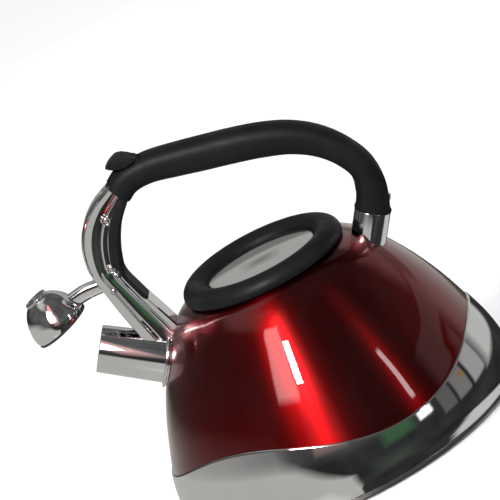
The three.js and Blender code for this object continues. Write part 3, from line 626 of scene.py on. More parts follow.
def make_collar():
    section = rounded([
        (SPOUT_ROOT_RADIUS - 0.2, -1, 0), (COLLAR_RADIUS - 1.2, -1, 0.2), (COLLAR_RADIUS - 1.2, 0.5, 0.2),
        (COLLAR_RADIUS + 0.1, 0.9, 0.3), (COLLAR_RADIUS + 0.1, 2.1, 0.5), (SPOUT_ROOT_RADIUS + 1, 2.2, 0.6),
        (SPOUT_ROOT_RADIUS - 0.2, 2.6, 0),
    ])
    rings = []
    for i in range(97):
        angle = 2 * math.pi * i / 96
        rings.append([spout_point(r, angle, dome_along_spout(r, angle) + lift) for r, lift in section])
    piece("spout_ring", loft(rings, capped=False), MIRROR, "root", ["spout_collar"])


make_spout()
make_collar()

# ---- front strut ----

# Half width of the strut's side against depth: the bead along its front edge and the grooves behind it.
FRONT_RELIEF = [
    (0, 9), (0.05, 9), (0.062, 8.9), (0.075, 8.35), (0.09, 8.9), (0.105, 9), (0.26, 8.95), (0.29, 8.75),
    (0.40, 7.9), (0.49, 6.9),
]
UPPER_RELIEF = monotone(FRONT_RELIEF + [
    (0.515, 6.75), (0.54, 7.5), (0.565, 7.6), (0.60, 7.3), (0.70, 6.8), (1, 6.6),
])
MIDDLE_RELIEF = monotone(FRONT_RELIEF + [
    (0.515, 6.8), (0.528, 7.15), (0.535, 7.15), (0.62, 6.75), (0.70, 6.4), (1, 6.3),
])
LOWER_RELIEF = monotone([
    (0, 9), (0.06, 9), (0.27, 8.9), (0.29, 8.6), (0.32, 7.4), (0.36, 7.4), (0.38, 8.0), (0.635, 6.1),
    (0.65, 5.8), (0.66, 5.9), (0.69, 8.0), (0.73, 8.6), (0.78, 8.1), (0.80, 7.4), (1, 7.3),
])
# Half width of the channel inside it, against depth, from the rear to the front.
STRUT_INSIDE = [(0.5, 5.2), (0.36, 5.2), (0.27, 7.0)]
STRUT_LENGTH = 125
STRUT_CORNER = 1.6


def strut_point(along, depth):
    """A place on the strut's side view: along 0 is the grip end, depth 0 the front edge and 1 the rear."""
    held = min(1.0, max(0.0, along))
    point = spline(STRUT_FRONT, held).lerp(spline(STRUT_REAR, held), depth)
    return point + spline_tangent(STRUT_FRONT, held) * (along - held) * STRUT_LENGTH


def on_strut(along, outline):
    """Points for an outline of (depth, y) pairs at one place on the strut."""
    front, back = strut_point(along, 0), strut_point(along, 1)
    places = [(front.lerp(back, depth), y) for depth, y in outline]
    return [(p.x, y, p.y) for p, y in places]


def strut_span(along):
    """The strut's whole depth at one place."""
    return (strut_point(along, 1) - strut_point(along, 0)).length


def strut_side(along, depth):
    """Half width of the strut's side at a place."""
    above = lerp(UPPER_RELIEF(depth), MIDDLE_RELIEF(depth), smoothstep(0.15, 0.2, along))
    return lerp(above, LOWER_RELIEF(depth), smoothstep(0.5, 0.58, along))


def strut_ring(along, rear):
    """The strut's U section at one place: round the outside, then back along the inside."""
    span = strut_span(along)
    corner = [STRUT_CORNER * (1 - math.cos(math.radians(a))) / span for a in (0, 18, 36, 54, 72, 90)]
    fine = [lerp(corner[-1], rear, i / 70) for i in range(1, 71)]
    near = []
    for depth in corner + fine:
        cut = max(0.0, 1 - depth * span / STRUT_CORNER)
        near.append((depth, strut_side(along, depth) - STRUT_CORNER * (1 - math.sqrt(1 - cut * cut))))
    outside = [(d, -y) for d, y in near[::-1]] + near
    inside = [(rear, STRUT_INSIDE[0][1]), *STRUT_INSIDE, (STRUT_WALL / span, STRUT_INSIDE[-1][1])]
    return on_strut(along, outside + inside + [(d, -y) for d, y in inside[::-1]])


SPOUT_NOTCH = [(0.74, -0.4), (1.02, -0.4), (1.02, 0.5), (0.80, 0.3), (0.75, 0.12)]
NOTCH_HALF_WIDTH = 7.5
CAP_PIN_HOLE = 1.9


def make_strut():
    places = [lerp(-0.015, 1.0, i / 110) for i in range(111)]
    rings = [strut_ring(a, lerp(0.72, 0.9, smoothstep(0.46, 0.54, a))) for a in places]
    skin = loft(rings)
    channel = piece("strut_channel", skin, MIRROR, "root", ["strut_shell"], sharp=50)
    arm_side = ARM_HALF_WIDTH + 0.8
    arm_slot = cutter_box((-120, -arm_side, 145), (-88, arm_side, 168.5))
    outline = [tuple(strut_point(a, d)) for a, d in SPOUT_NOTCH]
    notch = plate(outline, -NOTCH_HALF_WIDTH, NOTCH_HALF_WIDTH, 0.01, 1)
    finger_slot = cutter_box((-75, -3.4, 215.5), (-50, 3.4, 226))
    carved(channel, [arm_slot, notch, peg(CAP_PIN, CAP_PIN_HOLE, 20, 16), finger_slot])


def make_strut_heel():
    """The web that closes the strut's rear below the liner, down to its foot."""
    section = rounded(mirrored([(0.86, 7.4, 0), (0.86, 8.4, 0.3), (0.97, 9, 1.2), (1, 7.5, 0.8)]), 4)
    rings = [on_strut(lerp(LINER_END + 0.005, 1.0, i / 30), section) for i in range(31)]
    piece("strut_heel", loft(rings), MIRROR, "root", sharp=50)


def liner_ring(along):
    """The black liner's section, which narrows a little at its lower end."""
    span = strut_span(along)
    start = lerp(0.7, 0.87, smoothstep(0.47, 0.53, along))
    half = 8.5 - 0.6 * (1 - smoothstep(LINER_END, LINER_END - 0.02, along))
    side = [(start * span, half, 0.5), (0.93 * span, half + 0.1, 1), (span, half - 1, 1.6)]
    return on_strut(along, [(d / span, y) for d, y in rounded(mirrored(side))])


def make_liner():
    rings = [liner_ring(lerp(-0.012, LINER_END, i / 90)) for i in range(91)]
    pad = piece("liner_pad", loft(rings), BLACK, "root", ["strut_liner"], sharp=50)
    places = [i / 20 for i in range(-1, 14)]
    groove = [strut_point(a, 0.4) for a in places]
    groove += [strut_point(a, 0.84 if a < 0.5 else 0.95) for a in places[::-1]]
    carved(pad, [plate([tuple(p) for p in groove], -4.9, 4.9, 0.01, 1)])


def screw_head(radius, height):
    """A domed screw head on its own axis."""
    rim = [(0, -2.2), (radius * 0.55, -2.2), (radius * 0.55, -0.2), (radius, 0)]
    turns = [math.radians(90 - 10 * i) for i in range(1, 9)]
    dome = [(radius * math.sin(a), height * math.cos(a)) for a in turns]
    return turned(rim + dome + [(0, height)], 40)


def make_boss(name, place, radius, y, facing):
    """The raised ring round a screw in the strut's side."""
    inner = radius - 0.8
    ring = rounded([(inner, -1.6, 0), (radius, -1.6, 0), (radius, 0.4, 0.3), (inner, 0.4, 0.3)], 4)
    piece(name, turned(ring, 48), MIRROR, "root", place=sideways(place, y, facing))


STRUT_SCREWS = {"upper": (0.16, 0.55), "lower": (0.5, 0.66)}


def make_strut_screws():
    for level, (along, depth) in STRUT_SCREWS.items():
        centre = strut_point(along, depth)
        for side, facing in (("left", 1), ("right", -1)):
            face = facing * (strut_side(along, depth) + 0.9)
            name = f"strut_screw_{level}_{side}"
            piece(f"{name}_head", screw_head(2, 0.8), BRUSHED, "root", [name],
                  sideways(centre, face - facing * 0.6, facing))
            make_boss(f"{name}_boss", centre, 2.9, face, facing)


def make_cap_pin():
    rod = [(0, -9.4), (1.1, -9.4), (1.6, -9.0), (1.6, 9.0), (1.1, 9.4), (0, 9.4)]
    piece("cap_pin_round", turned(rod, 32), BRUSHED, "root", ["cap_pin"],
          sideways(CAP_PIN, 0, 1))


make_strut()
make_strut_heel()
make_liner()
make_strut_screws()
make_cap_pin()

# ---- rear ferrule and grip ----


def make_ferrule():
    length = FERRULE_LENGTH + 3
    foot = [FERRULE_TOP[i] - FERRULE_AXIS[i] * length for i in range(2)]
    outer, inner = FERRULE_RADIUS, FERRULE_RADIUS - 1.5
    profile = rounded([(inner, 0, 0), (outer, 0, 0.3), (outer, length, 0.6), (inner, length, 0.3)])
    piece("ferrule_sleeve", turned(profile, 96), MIRROR, "root", ["rear_ferrule"],
          aim(FERRULE_AXIS, foot))


GRIP_IN_PLANE = monotone([(i / 12, half) for i, half in enumerate(GRIP_HALF_IN_PLANE)])


def superellipse(angle, power):
    c, s = math.cos(angle), math.sin(angle)
    return math.copysign(abs(c) ** (2 / power), c), math.copysign(abs(s) ** (2 / power), s)


def lever_pocket(x):
    """Height of the flat cut into the grip's top below the thumb lever."""
    return 224.9 + 3.3 * smoothstep(-46, -36.5, x) + 20 * smoothstep(-37.5, -34, x)


def cut_plane(start, end):
    """A plane square to the handle plane through two (x, z) points, as a point and a normal."""
    return Vector(start), Vector((end[1] - start[1], start[0] - end[0])).normalized()


GRIP_FRONT = cut_plane(STRUT_FRONT[0], STRUT_REAR[0])
GRIP_REAR = cut_plane(FERRULE_TOP, (FERRULE_TOP[0] + FERRULE_AXIS[1], FERRULE_TOP[1] - FERRULE_AXIS[0]))
GRIP_EDGE = 1.0


def shifted_to(plane, point, along):
    """How far a point moves along a direction to reach a plane."""
    spot, normal = plane
    return (spot - point).dot(normal) / along.dot(normal)


def grip_ring(t, sides=64):
    """The grip's outline at a place, slid along it near the ends so that each end is one flat face."""
    centre, along = spline(GRIP_LINE, t), spline_tangent(GRIP_LINE, t)
    side = Vector((-along.y, along.x))
    half = GRIP_IN_PLANE(t)
    front, rear = 1 - smoothstep(0, 0.16, t), smoothstep(0.9, 1, t)
    ring = []
    for k in range(sides):
        across, up = superellipse(2 * math.pi * k / sides, GRIP_SQUARENESS)
        point = centre + side * up * half
        slide = front * shifted_to(GRIP_FRONT, point, along) + rear * shifted_to(GRIP_REAR, point, along)
        point += along * slide
        height = min(point.y, lever_pocket(point.x)) if point.x < -30 and point.y > 215 else point.y
        ring.append(Vector((point.x, across * GRIP_HALF_ACROSS, height)))
    return ring


def rounded_end(ring, outward, edge, steps=4):
    """Rings that turn a flat end's sharp rim into a rounded one, from the face out to the side."""
    middle = sum(ring, Vector()) / len(ring)
    rings = []
    for k in range(steps + 1):
        turn = math.pi / 2 * k / steps
        inset, back = edge * (1 - math.sin(turn)), edge * (1 - math.cos(turn))
        rings.append([p + (middle - p).normalized() * inset - outward * back for p in ring])
    return rings


def make_grip():
    inner = [grip_ring(i / 150) for i in range(151)]
    front = Vector((GRIP_FRONT[1].x, 0, GRIP_FRONT[1].y))
    rear = Vector((-FERRULE_AXIS[0], 0, -FERRULE_AXIS[1]))
    start = rounded_end(inner[0], front, GRIP_EDGE)
    end = rounded_end(inner[-1], rear, GRIP_EDGE)[::-1]
    skin = loft(start + inner[2:-2] + end)
    grip = piece("grip_skin", skin, BLACK, "root", ["handle_grip"], sharp=50)
    finger = [(-70, 200), (-58.5, 206), (-56.8, 211), (-52, 218.4), (-49.6, 224), (-49.6, 230), (-75, 230)]
    knuckle = arc(LEVER_PIN, 3.9, -200, 20, 12) + [(LEVER_PIN[0] + 3.7, 229), (LEVER_PIN[0] - 5, 229)]
    carved(grip, [plate(finger, -2.9, 2.9, 0.01, 1), plate(knuckle, -5.4, 5.4, 0.01, 1)])


def make_grip_screw():
    x, z = GRIP_SCREW_PLACE
    ax, az = GRIP_SCREW_AXIS
    seat = 10.2
    piece("grip_screw_head", screw_head(3, 0.9), BRUSHED, "root", ["grip_screw"],
          aim(GRIP_SCREW_AXIS, (x + ax * seat, z + az * seat)))


make_ferrule()
make_grip()
make_grip_screw()

# ---- thumb lever, rod and spring ----


LEVER_TOP = monotone([
    (-60, 229.5), (-58.6, 230.5), (-55, 232.1), (-52, 233), (-49, 232.5), (-45, 230.2), (-41, 227.5),
])
LEVER_UNDER = monotone([
    (-60, 228.6), (-57, 227.7), (-54, 226.7), (-51, 225.9), (-48, 225.5), (-45, 225.9), (-41, 227.2),
])


def lever_ring(t):
    """The lever's thumb tab across its width: narrow and rounded at its front, full width behind."""
    x = lerp(-60.0, -41.0, t)
    top, under = LEVER_TOP(x), LEVER_UNDER(x)
    half = LEVER_HALF_WIDTH * math.sqrt(1 - 0.82 * max(0.0, 1 - t / 0.42) ** 2.2)
    edge = min(0.8, 0.4 * (top - under))
    corners = [(-half, under, edge), (half, under, edge), (half, top, edge), (-half, top, edge)]
    return [(x, y, z) for y, z in rounded(corners, 4)]


LEVER_NECK = [
    (-45.2, 229.4, 0.3), (-43.6, 224.2, 1.5), (-40.5, 219.9, 3), (-37.2, 223.2, 3), (-40.2, 227.2, 1),
]
LEVER_FINGER = [
    (-62.4, 213, 1.6), (-60, 211.1, 1.6), (-57.8, 213.2, 1.4), (-54.6, 219.8, 2), (-51.4, 226.8, 0.4),
    (-55, 228.4, 0.4), (-58.4, 221.4, 2),
]


def make_lever():
    rings = [lever_ring(t) for t in [0, 0.01, 0.03, 0.06, 0.1] + [0.14 + 0.86 * i / 40 for i in range(41)]]
    lever = piece("lever_tab", loft(rings), BLACK, "lever", ["thumb_lever"], sharp=50)
    neck = plate(rounded(LEVER_NECK), -5, 5, 0.4, 3)
    finger = plate(rounded(LEVER_FINGER), -2.4, 2.4, 0.4, 3)
    carved(lever, [neck, finger], "UNION")
    carved(lever, [peg(LEVER_PIN, 1.6, 9)])


CRANK_PIN = (
    CAP_PIN[0] + CRANK_LENGTH * math.cos(CAP_SWING / 2),
    CAP_PIN[1] - CRANK_LENGTH * math.sin(CAP_SWING / 2),
)


def make_rod():
    """The rod's wire from the lever's finger down inside the strut, with an eye round the crank's pin."""
    line = [
        (-60.9, 209.8), (-65.3, 206.4), (-75.5, 199.5), (-84.5, 190.5), (-88.5, 179), (-88.6, 168),
        (-86.6, 160.5), (CRANK_PIN[0], CRANK_PIN[1] + 2.3),
    ]
    wire = tube([(x, 0, z) for x, z in line], 1.4, 20, 64)
    rod = piece("rod_wire", wire, BRUSHED, "rod", ["push_rod"])
    carved(rod, [peg(CRANK_PIN, 2.8, 1.4, edge=0.4, steps=3)], "UNION")
    carved(rod, [peg(CRANK_PIN, 1.7, 9)])


def make_spring():
    turns, radius, start, pitch = 3.25, 2.6, 5.0, 0.78
    coil = []
    for i in range(66):
        angle = 2 * math.pi * turns * i / 65
        x, z = CAP_PIN[0] + radius * math.cos(angle), CAP_PIN[1] + radius * math.sin(angle)
        coil.append((x, start + pitch * turns * i / 65, z))
    wire = tube(coil, 0.35, 10, 260)
    piece("spring_wire", wire, BRUSHED, "root", ["cap_return_spring"])


make_lever()
make_rod()
make_spring()

# ---- whistle cap ----

CAP_PROFILE = [
    (18.4, 0), (18.9, 1.4), (19, 3.4), (18.4, 7), (17.2, 10.4), (15.4, 14.4), (13.1, 17.8), (10.4, 20.6),
    (8.2, 22.2),
]
CAP_TOP = 22.2


def cap_place():
    """Centre of the cap's rim when open: the spout mouth's centre turned back about the cap's pin."""
    mouth = Vector([SPOUT_ROOT[i] + SPOUT_AXIS[i] * SPOUT_LENGTH for i in range(2)]) - Vector(CAP_PIN)
    mouth.rotate(Matrix.Rotation(-CAP_SWING, 2))
    return tuple(mouth + Vector(CAP_PIN))


CAP_CENTRE = cap_place()
CAP_FRAME = aim(CAP_AXIS, CAP_CENTRE)


def make_cap_bell():
    outer = [tuple(spline(CAP_PROFILE, i / 40)) for i in range(41)]
    inner = [(r - WALL, h - WALL * h / CAP_TOP) for r, h in outer[::-1]]
    bell = turned(outer + [(2.1, CAP_TOP), (2.1, CAP_TOP - WALL)] + inner, 120)
    piece("cap_bell", bell, MIRROR, "cap", ["cap_shell"], CAP_FRAME, sharp=55)


def make_cap_disc():
    """The disc on the cap's top, with a raised lip round the whistle's hole."""
    disc = rounded([
        (0.9, 20.4, 0), (1.8, 20.4, 0), (1.8, 22.3, 0.1), (7.9, 22.3, 0.4), (7.9, 24.2, 0.5),
        (5.8, 24.4, 0.3), (5.4, 24.1, 0.2), (3.2, 24.1, 0.2), (2.6, 24.4, 0.3), (0.9, 23.7, 0.3),
    ], 4)
    piece("cap_disc", turned(disc, 72), SPUN, "cap", ["whistle_disc"], CAP_FRAME)


def make_cap_inner_plate():
    inside = rounded([
        (1.2, 14.6, 0.2), (3.6, 14.6, 0.4), (4.4, 14, 0.4), (12.4, 14, 0.3), (12.4, 15, 0.3),
        (4.8, 15, 0.4), (4, 15.6, 0.4), (1.2, 15.6, 0.2),
    ], 4)
    piece("cap_inner_plate", turned(inside, 72), SPUN, "cap", ["whistle_plate"], CAP_FRAME)


def make_cap_gasket():
    seal = rounded([
        (12.2, 0.4, 0.5), (14.2, 0.9, 0.6), (16.6, 0.4, 0.3), (16.6, -1.4, 0.5), (18.8, -1.4, 0.7),
        (18.8, -0.1, 0.2), (16.9, -0.1, 0.1), (16.6, 3.4, 0.3), (12.2, 3.4, 0.3),
    ], 4)
    piece("cap_gasket", turned(seal, 96), SILICONE, "cap", ["cap_seal"], CAP_FRAME)


ARM_LINE = [
    (-87.6, 157.2), (-90.6, 158.8), (-95, 160.9), (-100, 161.4), (-108.4, 161.4), (-115, 160.4),
    (-121, 159.4),
]
ARM_HALF_HEIGHT = [3.2, 3.9, 4.6, 4.9, 5.1, 5.0, 4.7]


def bar(line, half_heights, half_across, power, sides=40, steps=60):
    """A bar along an (x, z) line with a rounded section."""
    heights = monotone([(i / (len(half_heights) - 1), half) for i, half in enumerate(half_heights)])
    rings = []
    for k in range(steps + 1):
        t = k / steps
        centre, along = spline(line, t), spline_tangent(line, t)
        ring = []
        for i in range(sides):
            across, up = superellipse(2 * math.pi * (i + 0.5) / sides, power)
            point = centre + Vector((-along.y, along.x)) * up * heights(t)
            ring.append((point.x, across * half_across, point.y))
        rings.append(ring)
    return loft(rings)


def make_crank():
    """The cheek from the arm's hub to the pin that the push rod pulls."""
    (px, pz), (x, z) = CAP_PIN, CRANK_PIN
    dx, dz = CRANK_END_RADIUS * math.sin(CAP_SWING / 2), CRANK_END_RADIUS * math.cos(CAP_SWING / 2)
    outline = [(px, pz + 3.4), (x + dx, z + dz), (x - dx, z - dz), (px, pz - 3.4)]
    return plate(outline, -ARM_HALF_WIDTH, ARM_HALF_WIDTH, 0.4, 3)


def make_arm():
    px = CAP_PIN[0]
    skin = bar(ARM_LINE, ARM_HALF_HEIGHT, ARM_HALF_WIDTH, 2.6)
    arm = piece("arm_bar", skin, MIRROR, "cap", ["cap_arm"], sharp=45)
    hub = peg(CAP_PIN, 4.2, ARM_HALF_WIDTH, edge=0.4, steps=3)
    end = peg(CRANK_PIN, CRANK_END_RADIUS, ARM_HALF_WIDTH, 16, 0.4, 3)
    carved(arm, [hub, make_crank(), end], "UNION")
    fork = cutter_box((px - 4.8, -2.2, 140), (px + 15, 2.2, 175))
    holes = [peg(CAP_PIN, CAP_PIN_HOLE, 20, 16), peg(CRANK_PIN, 1.5, 20, 16)]
    inside_cap = turned([(0, -3), (18, -3)] + [(r - 0.4, h) for r, h in CAP_PROFILE] + [(0, CAP_TOP)], 96)
    carved(arm, [fork, *holes, laid(inside_cap, CAP_AXIS, CAP_CENTRE)])


make_cap_bell()
make_cap_disc()
make_cap_inner_plate()
make_cap_gasket()
make_arm()

# ---- lid ----

LID_SCREW_CIRCLE = 41


LID_RING_CROWN = [
    (53.9, 129.6), (54, 132.2), (52.6, 135.6), (50, 138), (46.6, 139.2), (43, 138.9), (39.8, 137.3),
    (37.6, 135.6), (LID_RING_INNER, 134),
]


def make_lid_ring():
    foot = [(LID_RING_INNER, 131.6), (50.4, 131.6), (51.6, 129.3), (53.2, 129.1)]
    ring = foot + [tuple(spline(LID_RING_CROWN, i / 48)) for i in range(49)]
    piece("lid_ring_skin", turned(ring, 160), BLACK, "lid", ["lid_ring"], sharp=60)


def make_lid_disc():
    edge = LID_RING_INNER - 0.3
    dome = [(edge * i / 36, 136.6 - 2.4 * (i / 36) ** 2) for i in range(35, -1, -1)]
    disc = [(edge, 131.7), (edge, 133.6), (edge - 0.2, 134.1)] + dome
    disc += [(0, 135.4), (edge - 3, 133.4), (edge - 1, 131.7)]
    piece("lid_disc", turned(disc, 160), MIRROR, "lid", ["lid_plate"], sharp=60)


def make_lid_pan():
    pan = rounded([
        (0, 129.8, 0), (20, 129.8, 1), (22, 128.8, 1), (36, 128.8, 1), (38, 129.8, 1), (43.6, 129.8, 1),
        (43.6, 121, 0.3), (45, 121, 0.3), (45, 131.2, 1), (0, 131.2, 0),
    ])
    piece("lid_pan_skin", turned(pan, 120), SPUN, "lid", ["lid_pan"])


def make_lid_gasket():
    gasket = rounded([
        (45.3, 123.4, 0.3), (46.6, 123.4, 0.4), (47.7, 125, 0.7), (46.6, 126.6, 0.4), (45.3, 126.6, 0.3),
    ], 4)
    piece("lid_gasket_ring", turned(gasket, 120), SILICONE, "lid", ["lid_gasket"])


def make_lid_screws():
    for i in range(3):
        angle = math.pi / 2 + 2 * math.pi * i / 3
        spot = Vector((LID_SCREW_CIRCLE * math.cos(angle), LID_SCREW_CIRCLE * math.sin(angle), 129))
        place = Matrix.Translation(spot * MM) @ Matrix.Rotation(math.pi, 4, "X")
        piece(f"lid_screw_head_{i + 1}", screw_head(3, 1.4), BRUSHED, "lid", [f"lid_screw_{i + 1}"], place)


make_lid_ring()
make_lid_disc()
make_lid_pan()
make_lid_gasket()
make_lid_screws()

# ---- CAD nodes that stay as they are ----

BRUSHED_NODES = ("front_tang", "handle_strap", "lever_pin", "crank_pin", "cap_screw")


def finish_kept_nodes():
    for name in ("base_core", *BRUSHED_NODES):
        node = frame["nodes"][name]
        node.data.materials.clear()
        node.data.materials.append(BRUSHED[0] if name in BRUSHED_NODES else ALUMINIUM)
        edges = node.modifiers.new("edges", "BEVEL")
        edges.width = 0.0002
        edges.segments = 2
        edges.limit_method = "ANGLE"


finish_kept_nodes()

# ---- camera, floor and light ----

CAMERA_AZIMUTH = 10
CAMERA_ELEVATION = 16.193
CAMERA_ROLL = -27.263
CAMERA_DISTANCE = 3.0
CAMERA_SHIFT = (-0.065584, 0.12005)
CAMERA_LENS = 344.07
STAGE_CENTRE = Vector((0, 0, 0.12))


def direction(azimuth, elevation):
    """Unit vector from the object; azimuth 0 points along -Y and 90 along +X."""
    a, e = math.radians(azimuth), math.radians(elevation)
    return Vector((math.sin(a) * math.cos(e), -math.cos(a) * math.cos(e), math.sin(e)))


def make_camera():
    back = direction(CAMERA_AZIMUTH, CAMERA_ELEVATION)
    a, r = math.radians(CAMERA_AZIMUTH), math.radians(CAMERA_ROLL)
    level = Vector((math.cos(a), math.sin(a), 0))
    upright = back.cross(level)
    right = level * math.cos(r) + upright * math.sin(r)
    up = upright * math.cos(r) - level * math.sin(r)
    data = bpy.data.cameras.new("camera")
    data.lens = CAMERA_LENS
    data.clip_end = 100
    camera = linked(data)
    turn = Matrix((right, up, back)).transposed().to_4x4()
    spot = back * CAMERA_DISTANCE + right * CAMERA_SHIFT[0] + up * CAMERA_SHIFT[1]
    camera.matrix_world = Matrix.Translation(spot) @ turn
    SCENE.camera = camera


def staged(data):
    """Links a mesh into the scene under its own name."""
    made = linked(data)
    return made


def only_reflected(made):
    for kind in ("camera", "diffuse", "transmission", "volume_scatter", "shadow"):
        setattr(made, f"visible_{kind}", False)


# The table's (azimuth, lowest, highest elevation) columns in degrees.
LIGHT_TABLE = [
    (-176, -30, -10), (-160, -50, -11), (-135, -70, -4), (-110, -80, 4), (-85, -84, 11), (-60, -86, 15),
    (-42, -86, 16), (-30, -84, 12), (-18, -80, 2), (-8, -76, -5), (-2, -60, -10), (3, -44, -14),
]


def block(azimuth, elevation, wide, tall):
    """Columns of a plain rectangular panel round its middle direction."""
    low, high = elevation - tall / 2, elevation + tall / 2
    return [(azimuth + wide * (i / 8 - 0.5), low, high) for i in range(9)]


# Panels that only show as reflections: name, columns, colour, strength, share faded at the rim.
REFLECTED_PANELS = [
    ("light_table", LIGHT_TABLE, (1, 0.98, 0.93), 0.5, 0.09),
    ("far_wall_low", block(160, -1, 94, 22), (1, 0.99, 0.95), 0.55, 0.08),
    ("far_wall_middle", block(161, 12, 94, 8), (1, 0.95, 0.9), 0.2, 0.08),
    ("far_wall_high", block(160, 26, 94, 24), (1, 0.99, 0.95), 0.42, 0.08),
    ("ceiling_back", block(-142, 48, 60, 30), (0.96, 0.99, 1), 0.3, 0.3),
    ("plate_shade", block(190, 21, 6, 8), (0.95, 0.88, 0.78), 0.2, 0.5),
    ("floor_right", block(128, -46, 90, 26), (1, 0.99, 0.96), 0.6, 0.08),
    ("ceiling_left", block(-95, 65, 150, 30), (1, 0.97, 0.96), 0.6, 0.25),
    ("window_slit", block(57, 18, 4, 14), (1, 1, 1), 9, 0.08),
    ("window_low", block(56, 1, 12, 8), (1, 1, 1), 1.4, 0.08),
    ("garden", block(36, 2, 28, 15), (0.25, 0.6, 0.28), 0.2, 0.25),
    ("cupboard_1", block(73, -3, 13, 16), (1, 0.98, 0.95), 0.12, 0.08),
    ("cupboard_2", block(88, -3, 15, 16), (1, 0.95, 0.9), 0.2, 0.08),
    ("cupboard_3", block(106, -3, 18, 16), (1, 0.98, 0.95), 0.36, 0.08),
    ("brown_jar", block(92, 0, 6, 6), (0.7, 0.4, 0.12), 0.4, 0.3),
    ("shelf_right", block(104, 9.5, 62, 8), (1, 1, 0.98), 0.45, 0.08),
    ("garden_low", block(28, -24, 40, 34), (0.5, 0.6, 0.5), 0.12, 0.45),
    ("table_bright", block(-30, -48, 34, 50), (1, 0.99, 0.94), 0.68, 0.35),
    ("key_curtain", block(-4, 42, 26, 66), (1, 0.6, 0.56), 0.8, 0.3),
    ("key_top", block(-11, 61, 24, 34), (1, 0.25, 0.2), 2.5, 0.4),
    ("key_ghost", block(-19, 39, 19, 30), (1, 0.8, 0.8), 7, 0.1),
]
PANEL_DISTANCE = 1.4
ROOM_RADIUS = 2.6
FLOOR_HALF = 8
FLOOR_GAP = 0.0003
WORLD_STRENGTH = 1.1
ROOM_DARK = 0.03
ROOM_LIGHT = 0.1


def bare_material(name):
    material = bpy.data.materials.new(name)
    material.use_nodes = True
    material.node_tree.nodes.clear()
    return material


def shown(material, shader):
    """Makes a shader the whole look of a bare material."""
    output = material.node_tree.nodes.new("ShaderNodeOutputMaterial")
    material.node_tree.links.new(shader, output.inputs["Surface"])
    return material


def panel_glow(name, color, strength):
    """Emission that follows the mesh's own "level" and is clear where that is 0."""
    material = bare_material(name)
    tree = material.node_tree
    level = add_node(tree, "ShaderNodeAttribute", "Fac")
    level.node.attribute_name = "level"
    mix = add_node(tree, "ShaderNodeMixShader", "Shader", Fac=level)
    light = add_node(tree, "ShaderNodeEmission", "Emission", Color=(*color, 1), Strength=strength)
    tree.links.new(add_node(tree, "ShaderNodeBsdfTransparent", "BSDF"), mix.node.inputs[1])
    tree.links.new(light, mix.node.inputs[2])
    return shown(material, mix)


def room_glow():
    """Light from the unseen room: dim low down, paler above, in soft uneven patches."""
    material = bare_material("glow_room")
    tree = material.node_tree
    place = add_node(tree, "ShaderNodeTexCoord", "Object")
    height = add_node(tree, "ShaderNodeMapRange", "Result", From_Min=0.1, From_Max=1.0, To_Min=ROOM_DARK,
                      To_Max=ROOM_LIGHT, Value=add_node(tree, "ShaderNodeSeparateXYZ", "Z", Vector=place))
    height.node.interpolation_type = "SMOOTHSTEP"
    patches = add_node(tree, "ShaderNodeTexNoise", "Fac", Vector=place, Scale=0.9, Detail=2)
    uneven = add_node(tree, "ShaderNodeMapRange", "Result", Value=patches, From_Min=0.35, From_Max=0.65,
                      To_Min=0.7, To_Max=1.3)
    product = tree.nodes.new("ShaderNodeMath")
    product.operation = "MULTIPLY"
    tree.links.new(height, product.inputs[0])
    tree.links.new(uneven, product.inputs[1])
    return shown(material, add_node(tree, "ShaderNodeEmission", "Emission", Strength=product.outputs[0]))


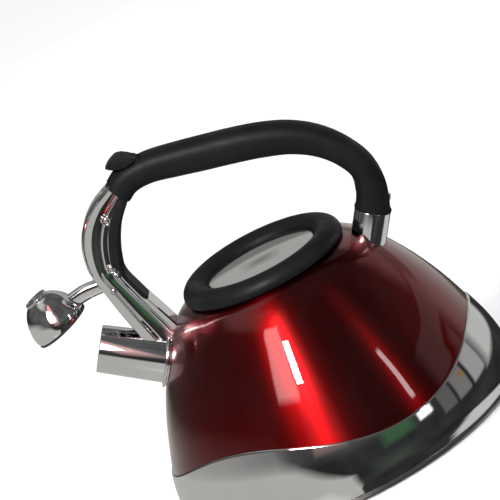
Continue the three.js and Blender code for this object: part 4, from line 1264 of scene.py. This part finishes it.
def make_panel(name, columns, color, strength, softness, distance):
    """A curved panel that glows evenly and fades out at its rim."""
    rows = 10
    points, faces, levels = [], [], []
    for i, (azimuth, low, high) in enumerate(columns):
        across = i / (len(columns) - 1)
        for j in range(rows + 1):
            up = j / rows
            points.append(STAGE_CENTRE + direction(azimuth, lerp(low, high, up)) * distance)
            levels.append(min(1.0, min(across, 1 - across, up, 1 - up) / softness))
    for column in range(len(columns) - 1):
        for j in range(rows):
            corner = column * (rows + 1) + j
            faces.append((corner, corner + 1, corner + rows + 2, corner + rows + 1))
    data = bpy.data.meshes.new(f"panel_{name}")
    data.from_pydata(points, [], faces)
    data.attributes.new("level", "FLOAT", "POINT").data.foreach_set("value", levels)
    data.materials.append(panel_glow(f"glow_{name}", color, strength))
    only_reflected(staged(data))


def make_room():
    for i, panel in enumerate(REFLECTED_PANELS):
        make_panel(*panel, PANEL_DISTANCE - 0.01 * i)
    room = bmesh.new()
    bmesh.ops.create_icosphere(room, subdivisions=4, radius=ROOM_RADIUS)
    data = bpy.data.meshes.new("reflected_room")
    room.to_mesh(data)
    room.free()
    data.materials.append(room_glow())
    made = staged(data)
    made.location = STAGE_CENTRE
    only_reflected(made)


def make_floor():
    data = bpy.data.meshes.new("floor")
    corners = [(FLOOR_HALF * x, FLOOR_HALF * y, 0) for x, y in ((-1, -1), (1, -1), (1, 1), (-1, 1))]
    data.from_pydata(corners, [], [(0, 1, 2, 3)])
    data.materials.append(pale_floor())
    floor = staged(data)
    floor.location.z = -FLOOR_GAP
    floor.visible_glossy = False


def area_light(name, azimuth, elevation, distance, size, power, reflected=True):
    """A rectangular light that faces the middle of the stage."""
    data = bpy.data.lights.new(name, "AREA")
    data.shape = "RECTANGLE"
    data.size, data.size_y = size
    data.energy = power
    light = linked(data)
    back = direction(azimuth, elevation)
    turn = back.to_track_quat("Z", "Y").to_matrix().to_4x4()
    light.matrix_world = Matrix.Translation(STAGE_CENTRE + back * distance) @ turn
    light.visible_glossy = reflected


def make_light():
    world = bpy.data.worlds.new("studio")
    SCENE.world = world
    world.use_nodes = True
    background = world.node_tree.nodes["Background"]
    background.inputs["Color"].default_value = (1, 1, 1, 1)
    background.inputs["Strength"].default_value = WORLD_STRENGTH
    area_light("key", -7, 38.5, 1.2, (0.09, 0.36), 11)
    area_light("overhead", 0, 88, 1.8, (1.4, 1.4), 6, reflected=False)
    SCENE.view_settings.view_transform = "Standard"


make_camera()
make_room()
make_floor()
make_light()
